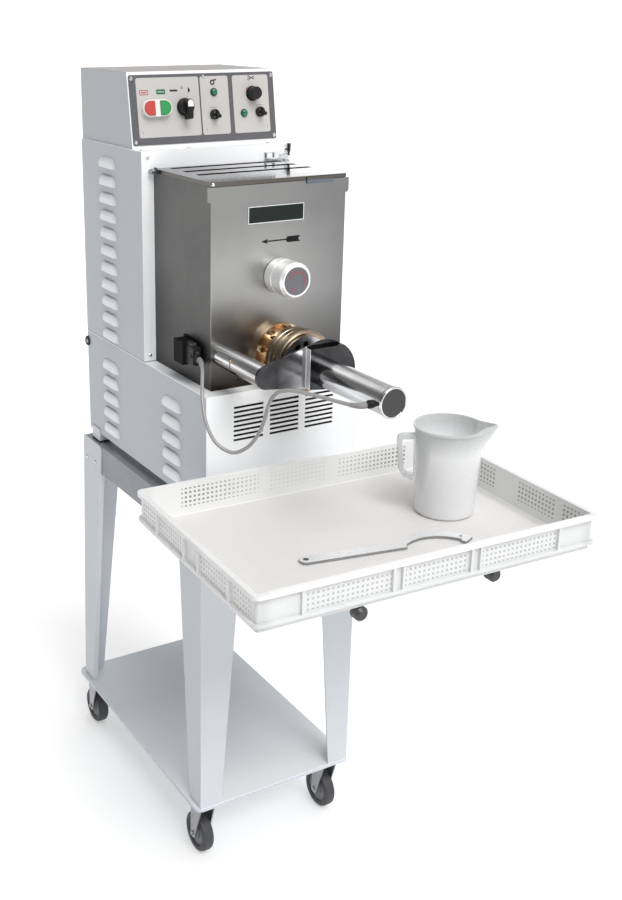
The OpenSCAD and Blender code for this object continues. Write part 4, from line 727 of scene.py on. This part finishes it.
head = {
    "y": 202, "z": 1298, "lean": math.atan(20 / 129), "front": 1.52,
    "windows": [(-133, -10), (-7, 50), (59, 134)], "windowLow": 18, "windowHigh": 120,
    "windowRadius": 4, "film": 0.3, "sink": 0.05,
}


def onFace(out0):
    # x stays, up runs along the sloping face, depth forward square to it
    c, s = math.cos(head["lean"]), math.sin(head["lean"])

    def place(p, depth):
        out = out0 + depth
        return np.stack([p[:, 0], head["y"] + p[:, 1] * s - out * c,
                         head["z"] + p[:, 1] * c + out * s], -1)
    return place


def makeWindows(h):
    middle = (h["windowLow"] + h["windowHigh"]) / 2
    tall = h["windowHigh"] - h["windowLow"]
    outlines = [roundedOutline(b - a, tall, h["windowRadius"], (a + b) / 2, middle)
                for a, b in h["windows"]]
    addPlate("panelWindows", outlines, h["film"], onFace(h["front"] - h["sink"]), "machine",
             "windowFilm", "white_plastic")


signs = {
    "ink": 0.16, "sink": 0.1,
    "wave": {"x": (-68, -53), "up": 97, "height": 1.1, "turns": 4, "width": 2.1},   # auger
    "mixer": [(-32, 92), (-28.6, 95), (-28.2, 98.5), (-32, 102.5)],
    # x, up, radius, first and last angle, width: the off place, the blower, the scissors' rings
    "arcs": [(-44, 101.5, 1.8, 0, 350, 0.8), (18, 109, 3.6, 60, 400, 2.4),
             (94, 112.4, 1.7, 0, 350, 1.0), (94, 117.6, 1.7, 0, 350, 1.0)],
    # two ends and a width: the blower's spout, the scissors' blades, then lines under controls
    "lines": [((19, 112.6), (26.5, 113.6), 2.2), ((95.5, 113), (105.5, 117.6), 1.3),
              ((95.5, 117), (105.5, 112.4), 1.3), ((11, 65.5), (24, 65.5), 0.5),
              ((107, 66.5), (119, 66.5), 0.5), ((-126, 25), (-126, 30), 0.5),
              ((1, 25), (1, 30), 0.5), ((128, 25), (128, 30), 0.5)],
    "dial": {"middle": (100, 87), "angles": (-40, 221, 26), "radii": (15.2, 16.8), "width": 0.5,
             "zero": (14.6, 130, 152, 5), "zeroWidth": 1.2},
    # name, middle, size with a corner radius or a bar's length and width, depth, thickness
    "framed": [
        ("signStop", (-119, 95), (17, 8.5, 0.8), -0.1, 0.16, "inkRed", "red_plastic"),
        ("signStopField", (-119, 95), (14.6, 5.8, 0.5), 0.05, 0.1, "windowFilm", "white_plastic"),
        ("signStopBar", (-119, 95), (11, 2.0), 0.12, 0.1, "inkRed", "red_plastic"),
        ("signStart", (-86, 95.5), (17, 8.5, 0.8), -0.1, 0.16, "inkGreen", "green_plastic"),
        ("signStartBar", (-86, 95.5), (13, 1.6), 0.05, 0.1, "windowFilm", "white_plastic"),
    ],
}


def makeSigns(s, film):
    # Symbols lie on the window film: bands along lines and arcs, and two framed fields with a bar
    front = onFace(film - s["sink"])
    w, dial = s["wave"], s["dial"]
    swing = w["height"] * np.sin(np.linspace(0, 2 * w["turns"] * np.pi, 30))
    wave = np.stack([np.linspace(*w["x"], 30), w["up"] + swing], -1)
    black = [strokeOutline(wave, w["width"]), s["mixer"]]
    black += [strokeOutline(arcPoints(*arc), width) for *arc, width in s["arcs"]]
    black += [strokeOutline(ends, width) for *ends, width in s["lines"]]
    x, up = dial["middle"]
    for q in np.radians(range(*dial["angles"])):
        black.append(strokeOutline([(x + r * math.cos(q), up + r * math.sin(q))
                                    for r in dial["radii"]], dial["width"]))
    addPlate("panelSigns", black, s["ink"], front, "machine", "inkBlack", "plate_enamel")
    for name, (cx, cy), size, depth, thickness, ink, slot in s["framed"]:
        half = size[0] / 2
        outline = roundedOutline(*size, cx, cy) if len(size) == 3 else strokeOutline(
            [(cx - half, cy), (cx + half, cy)], size[1])
        addPlate(name, [outline], thickness, onFace(film + depth), "machine", ink, slot)
    zero = strokeOutline(arcPoints(x, up, *dial["zero"]), dial["zeroWidth"])
    addPlate("speedZero", [zero], s["ink"], front, "machine", "inkRed", "red_plastic")


makeWindows(head)
makeSigns(signs, head["front"] + head["film"])
print("panel done")

hopper = {
    "y": -46.0, "plate": (-8, 1212, 106, 27), "rim": 0.6, "lip": 0.7, "radii": (0.8, 0.6),
    "arrowZ": 1167, "arrowInk": 0.2,
    "arrow": [(-36, 0), (-23, 4.2), (-25, 1.1), (12, 1.1), (15, 5), (40, 5), (36, 0), (40, -5),
              (15, -5), (12, -1.1), (-25, -1.1), (-23, -4.2)],
}


def onFront(y0):
    # x and z stay, depth runs forward
    def place(p, depth):
        return np.stack([p[:, 0], np.full(len(p), y0 - depth), p[:, 1]], -1)
    return place


def makeFrontSigns(h):
    # An arrow, and a raised rim round the bare plate: two rounded outlines joined at their depths
    arrow = np.array(h["arrow"]) + (0, h["arrowZ"])
    addPlate("turnArrow", [arrow], h["arrowInk"], onFront(h["y"] + 0.05), "machine", "inkBlack",
             "plate_enamel")
    cx, cz, w, t = h["plate"]
    rim, inner = [roundedOutline(w + 2 * more, t + 2 * more, r, cx, cz)
                  for more, r in zip((h["rim"], -h["lip"]), h["radii"])]
    place = onFront(h["y"] + 0.02)
    points = np.vstack([place(rim, 0), place(rim, 1.25), place(inner, 1.25), place(inner, 0.9)])
    addPiece("plateRim", (points, gridFaces(4, len(rim), wrap=True)), "machine", "brightChrome",
             "chrome")


knob = {
    "middle": (0, 1108), "y": -100.3, "disc": (23.3, 0, 352.5, 48), "discDepth": 1.3,
    "markDepth": 0.85, "marks": [(15.5, -35, 165, 26, 1.4), (15.5, 225, 262, 6, 1.7)],
}


def makeKnobMark(k):
    # A dark disc in the knob's hollow face, and two red arcs of a circle on it
    disc = arcPoints(*k["middle"], *k["disc"])
    addPlate("knobDisc", [disc], 0.5, onFront(k["y"] + k["discDepth"]), "mixer_knob", "knobFace",
             "knob_aluminium")
    marks = [strokeOutline(arcPoints(*k["middle"], *arc), width) for *arc, width in k["marks"]]
    addPlate("knobMark", marks, 0.15, onFront(k["y"] + k["markDepth"]), "mixer_knob", "inkRed",
             "red_plastic")


details = {
    "ledgeScrews": [(-143, 176), (-50, 176), (112, 176)], "ledge": 1298.02,
    "screwHead": (3.4, 1.9), "rivet": (-126, -46.0, 1266.0), "rivetHead": (3.2, 2),
    "slotRadius": 18.6, "slotAxis": (-108, 983.5), "slotWidth": 1.8,
    "slotLine": [(146, -96), (152, -101), (163, -102.5), (180, -102.5), (196, -102), (206, -99)],
    "latch": (-141, 1, 996), "latchSize": (9, 20, 7),
    "plugEnd": (-140.5, -18, 979), "plugFlat": 0.62,
    "selector": (-41, 68), "selectorOut": 5.8, "lamps": [(20, 92), (80, 53)],
    "capCentre": (0, -361, 978), "bush": (-152.02, 416, 902),
    "drainHole": (-77.7, -46, 936.6),
    # The dark sheet of painted shade behind the grille: width, height, distance back, thickness
    "shadeSheet": (216, 82, 10, 1), "shadeSheetDrop": 54.5,
}


def dome(r, h):
    # A button head: radius r at its foot, rounded over to height h
    a = np.linspace(0, np.pi / 2, 7)
    return [(0.0, 0.0)] + [(r * math.cos(t), h * math.sin(t)) for t in a[:-1]] + [(0.0, h)]


def makeFastenings(d):
    heads = [revolved(dome(*d["screwHead"]), (x, y, d["ledge"]), (0, 0, 1), 20)
             for x, y in d["ledgeScrews"]]
    addPiece("ledgeScrews", joinShapes(heads), "machine", "screwSteel", "chrome", smooth=True)
    rivet = revolved(dome(*d["rivetHead"]), d["rivet"], (0, -1, 0), 20)
    addPiece("lidRivet", rivet, "lid", "brightChrome", "chrome", smooth=True)


def makePinSlot(d):
    # The bayonet slot: a band of the given line wrapped round the tube, angle and y at each point
    line = np.asarray(d["slotLine"], float)
    t = np.linspace(0, len(line) - 1, 30)
    angle = np.radians(np.interp(t, np.arange(len(line)), line[:, 0]))
    y = np.interp(t, np.arange(len(line)), line[:, 1])
    band = strokeOutline(np.stack([angle * d["slotRadius"], y], -1), d["slotWidth"])
    x0, z0 = d["slotAxis"]

    def place(p, depth):
        a, r = p[:, 0] / d["slotRadius"], d["slotRadius"] + depth
        return np.stack([x0 + r * np.cos(a), p[:, 1], z0 + r * np.sin(a)], -1)

    n = len(band) // 2
    left, right = band[:n], band[n:][::-1]
    rows = [place(left, -0.4), place(left, 0.5), place(right, 0.5), place(right, -0.4)]
    under = [[k, k + 3 * n, k + 3 * n + 1, k + 1] for k in range(n - 1)]
    ends = [[0, n, 2 * n, 3 * n], [4 * n - 1, 3 * n - 1, 2 * n - 1, n - 1]]
    addPiece("pinSlot", (np.vstack(rows), gridFaces(4, n) + under + ends), "cutter_arm",
             "slotBronze", "bronze")


def makePlugParts(d):
    # The plug's round end with grip rings, and the sprung catch that holds it in its socket
    rings = [(0, -9), (12.5, -9), (12.5, -1.5)]
    for k in range(4):
        rings += [(12.5 - 0.6 * k, -1.5 + 1.2 * k), (11.2 - 0.6 * k, -0.9 + 1.2 * k)]
    rings += [(8.5, 4.2), (6, 5.0), (0, 5.0)]
    points, faces = revolved(rings, d["plugEnd"], (0, -1, 0), 40)
    x = d["plugEnd"][0]
    points[:, 0] = x + (points[:, 0] - x) * d["plugFlat"]      # flattened to the plug's width
    addPiece("plugEnd", (points, faces), "machine", "blackPlastic", "black_plastic", smooth=True)
    cx, cy, cz = d["latch"]
    w, l, h = d["latchSize"]

    def place(p, depth):
        return np.stack([np.full(len(p), cx + w / 2 - depth), p[:, 0], p[:, 1]], -1)

    addPlate("plugCatch", [roundedOutline(l, h, 2.5, cy, cz)], w, place, "machine", "capPlastic",
             "black_plastic")


def bevelled(outline, thickness, edge, place):
    # A plate whose upper rim is drawn in by edge, towards the outline's middle
    outline = np.asarray(outline, float)
    middle = outline.mean(0)
    reach = np.linalg.norm(outline - middle, axis=1)[:, None]
    inner = middle + (outline - middle) * (1 - edge / reach)
    n = len(outline)
    points = np.vstack([place(outline, 0.0), place(outline, thickness - edge),
                        place(inner, thickness)])
    k = np.arange(n)
    return points, gridFaces(3, n, wrap=True) + [k[::-1].tolist(), (k + 2 * n).tolist()]


def faceRevolve(x, up, out, profile, steps=48):
    centre = onFace(out)(np.array([[x, up]], float), 0.0)[0]
    c, s = math.cos(head["lean"]), math.sin(head["lean"])
    return revolved(profile, centre, (0, -c, s), steps)


def makeSelector(d):
    # A turned hub with a pointed grip across it, and a pale inlay on the grip's upper half
    x, up = d["selector"]
    out = d["selectorOut"]
    hub = faceRevolve(x, up, out, [(0, 0), (14.5, 0), (14.5, 1.4), (13.4, 2.2), (13.2, 8.8),
                                   (12.2, 10), (0, 10)])
    tail = [(x + 4.6, up - 8), (x + 4.0, up - 20), (x + 2.6, up - 22), (x - 2.6, up - 22),
            (x - 4.0, up - 20), (x - 4.6, up - 8)]
    top = arcPoints(x, up + 5.5, 7, 0, 180, 16)
    grip = bevelled(np.vstack([top, tail[::-1]]), 20, 1.2, onFace(out + 0.5))
    piece = addPiece("selectorKnob", joinShapes([hub, grip]), "selector", "blackPlastic",
                     "black_plastic")
    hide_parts("selector_knob")
    inlay = np.vstack([arcPoints(x, up + 5.5, 5.4, 0, 180, 16),
                       [(x - 5.4, up - 1), (x + 5.4, up - 1)]])
    addPlate("selectorInlay", [inlay], 0.5, onFace(out + 20.2), "selector", "whitePlastic",
             "white_plastic")


def makeLamps(d):
    # Signal lamps: a domed lens standing in a dark turned ring
    lens = [(6.2, 1.0), (6.2, 2.4), (5.8, 3.8), (4.6, 5.0), (2.6, 5.7), (0, 5.9)]
    ring = [(5.6, 0), (7.3, 0), (7.3, 1.0), (6.8, 1.8), (6.0, 1.8), (6.0, 0.6)]
    out = head["front"] + 0.1
    lenses, rings = [joinShapes([faceRevolve(x, up, out, profile) for x, up in d["lamps"]])
                     for profile in (lens, ring)]
    piece = addPiece("lampLenses", lenses, "machine", "greenLens", "green_plastic", smooth=True)
    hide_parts("lamp_lenses")
    addPiece("lampRings", rings, "machine", "lampRing", "green_plastic")


def makeSideParts(d):
    # A round cable bush at the back of the cabinet's side, and a dark hole under the arm
    bush = [(9.5, 0), (9.5, 2.2), (8.6, 3.2), (6.4, 3.4), (5.6, 2.4), (5.6, 1.2), (0, 1.2)]
    plug = [(5.3, 1.3), (5.3, 2.2), (3.8, 2.9), (0, 3.1)]
    hole = [(2.6, 0.02), (2.6, 0.3), (1.9, 0.55), (0, 0.55)]
    left, forward = (-1, 0, 0), (0, -1, 0)
    addPiece("sideBush", revolved(bush, d["bush"], left, 40), "machine", "padRubber", "rubber")
    addPiece("bushPlug", revolved(plug, d["bush"], left, 28), "machine", "zincPlate", "rubber",
             smooth=True)
    addPiece("drainHole", revolved(hole, d["drainHole"], forward, 24), "machine", "inkBlack",
             "plate_enamel")


def makeGrilleShadeSheet(d):
    # A dark sheet inside the cabinet, behind the grille's slots: painted shade that keeps light from
    # showing through them
    y, z = (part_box("lower_front")[1] * 1000)[1:]      # millimetres
    w, h, back, t = d["shadeSheet"]

    def place(p, depth):
        return np.stack([p[:, 0], np.full(len(p), y + back + depth), p[:, 1]], -1)

    addPlate("grilleShadeSheet", [roundedOutline(w, h, 4, cy=z - d["shadeSheetDrop"])], t, place, "machine",
             "padRubber", "rubber")


def makeCapRim(d):
    # A chromed ring on the motor's end cap, rounded over, with the dark face sunk inside it
    ring = [(24.8, -1.4), (24.95, -4.0), (24.6, -5.2), (23.8, -5.9), (22.6, -6.0), (21.9, -5.6),
            (21.6, -4.9), (21.6, -4.2)]
    addPiece("capRim", revolved(ring, d["capCentre"], (0, 1, 0), 72), "cutter_arm",
             "brightChrome", "chrome", smooth=True)


makeFrontSigns(hopper)
makeKnobMark(knob)
makeFastenings(details)
makeCapRim(details)
makeGrilleShadeSheet(details)
makeSideParts(details)
makePinSlot(details)
makePlugParts(details)
makeSelector(details)
makeLamps(details)
print("small parts done")

studio = {
    "floor": (0.72, 0.72, 0.72), "rough": 0.7, "glow": 0.34, "reach": 3000,    # metres
    "sky": [(-1.0, 0.9), (0.0, 1.1), (0.05, 1.25), (0.17, 1.2), (0.24, 0.30), (0.32, 0.85),
            (0.42, 0.30), (0.55, 0.80), (0.75, 1.0), (1.0, 1.3)],  # a direction's z, brightness
    "left": (-0.7, 0.35, 0.18, 1.0),       # the sky dims from the second x to the first
    "sun": {"from": (-0.03, -0.6, 0.8), "power": 2.5, "angle": 36},
}


def makeStudio(s):
    r = s["reach"]
    floor = makeMesh("floor", [(-r, -r, 0), (r, -r, 0), (r, r, 0), (-r, r, 0)], [[0, 1, 2, 3]],
                     scale=1)
    mat, nodes, links, shader = newMaterial("floorPaper")
    shader.inputs["Base Color"].default_value = (*s["floor"], 1)
    shader.inputs["Roughness"].default_value = s["rough"]
    shader.inputs["Emission Color"].default_value = (1, 1, 1, 1)
    shader.inputs["Emission Strength"].default_value = s["glow"]
    floor.data.materials.append(mat)
    world = bpy.data.worlds.new("studioWorld")
    world.use_nodes = True
    nodes, links = world.node_tree.nodes, world.node_tree.links
    background = nodes["Background"]
    direction = nodes.new("ShaderNodeTexCoord")
    parts = nodes.new("ShaderNodeSeparateXYZ")
    links.new(direction.outputs["Object"], parts.inputs[0])
    ramp = nodes.new("ShaderNodeValToRGB")
    links.new(spread(nodes, links, parts.outputs["Z"], 0, 1, -1, 1), ramp.inputs[0])
    stops = ramp.color_ramp.elements
    while len(stops) < len(s["sky"]):
        stops.new(0.5)
    for stop, (height, glow) in zip(stops, s["sky"]):
        stop.position = (height + 1) / 2
    for stop, (height, glow) in zip(stops, s["sky"]):
        stop.color = (glow, glow, glow, 1)
    links.new(ramp.outputs[0], background.inputs["Color"])
    start, end, low, high = s["left"]
    links.new(spread(nodes, links, parts.outputs["X"], low, high, start, end),
              background.inputs["Strength"])
    scene.world = world
    data = bpy.data.lights.new("sun", "SUN")
    data.energy = s["sun"]["power"]
    data.angle = math.radians(s["sun"]["angle"])
    lamp = bpy.data.objects.new("sun", data)
    x, y, z = s["sun"]["from"]
    lamp.rotation_euler = (math.atan2(math.hypot(x, y), z), 0, math.atan2(x, -y))
    scene.collection.objects.link(lamp)
    scene.view_settings.view_transform = "Standard"


makeStudio(studio)
print("studio done")
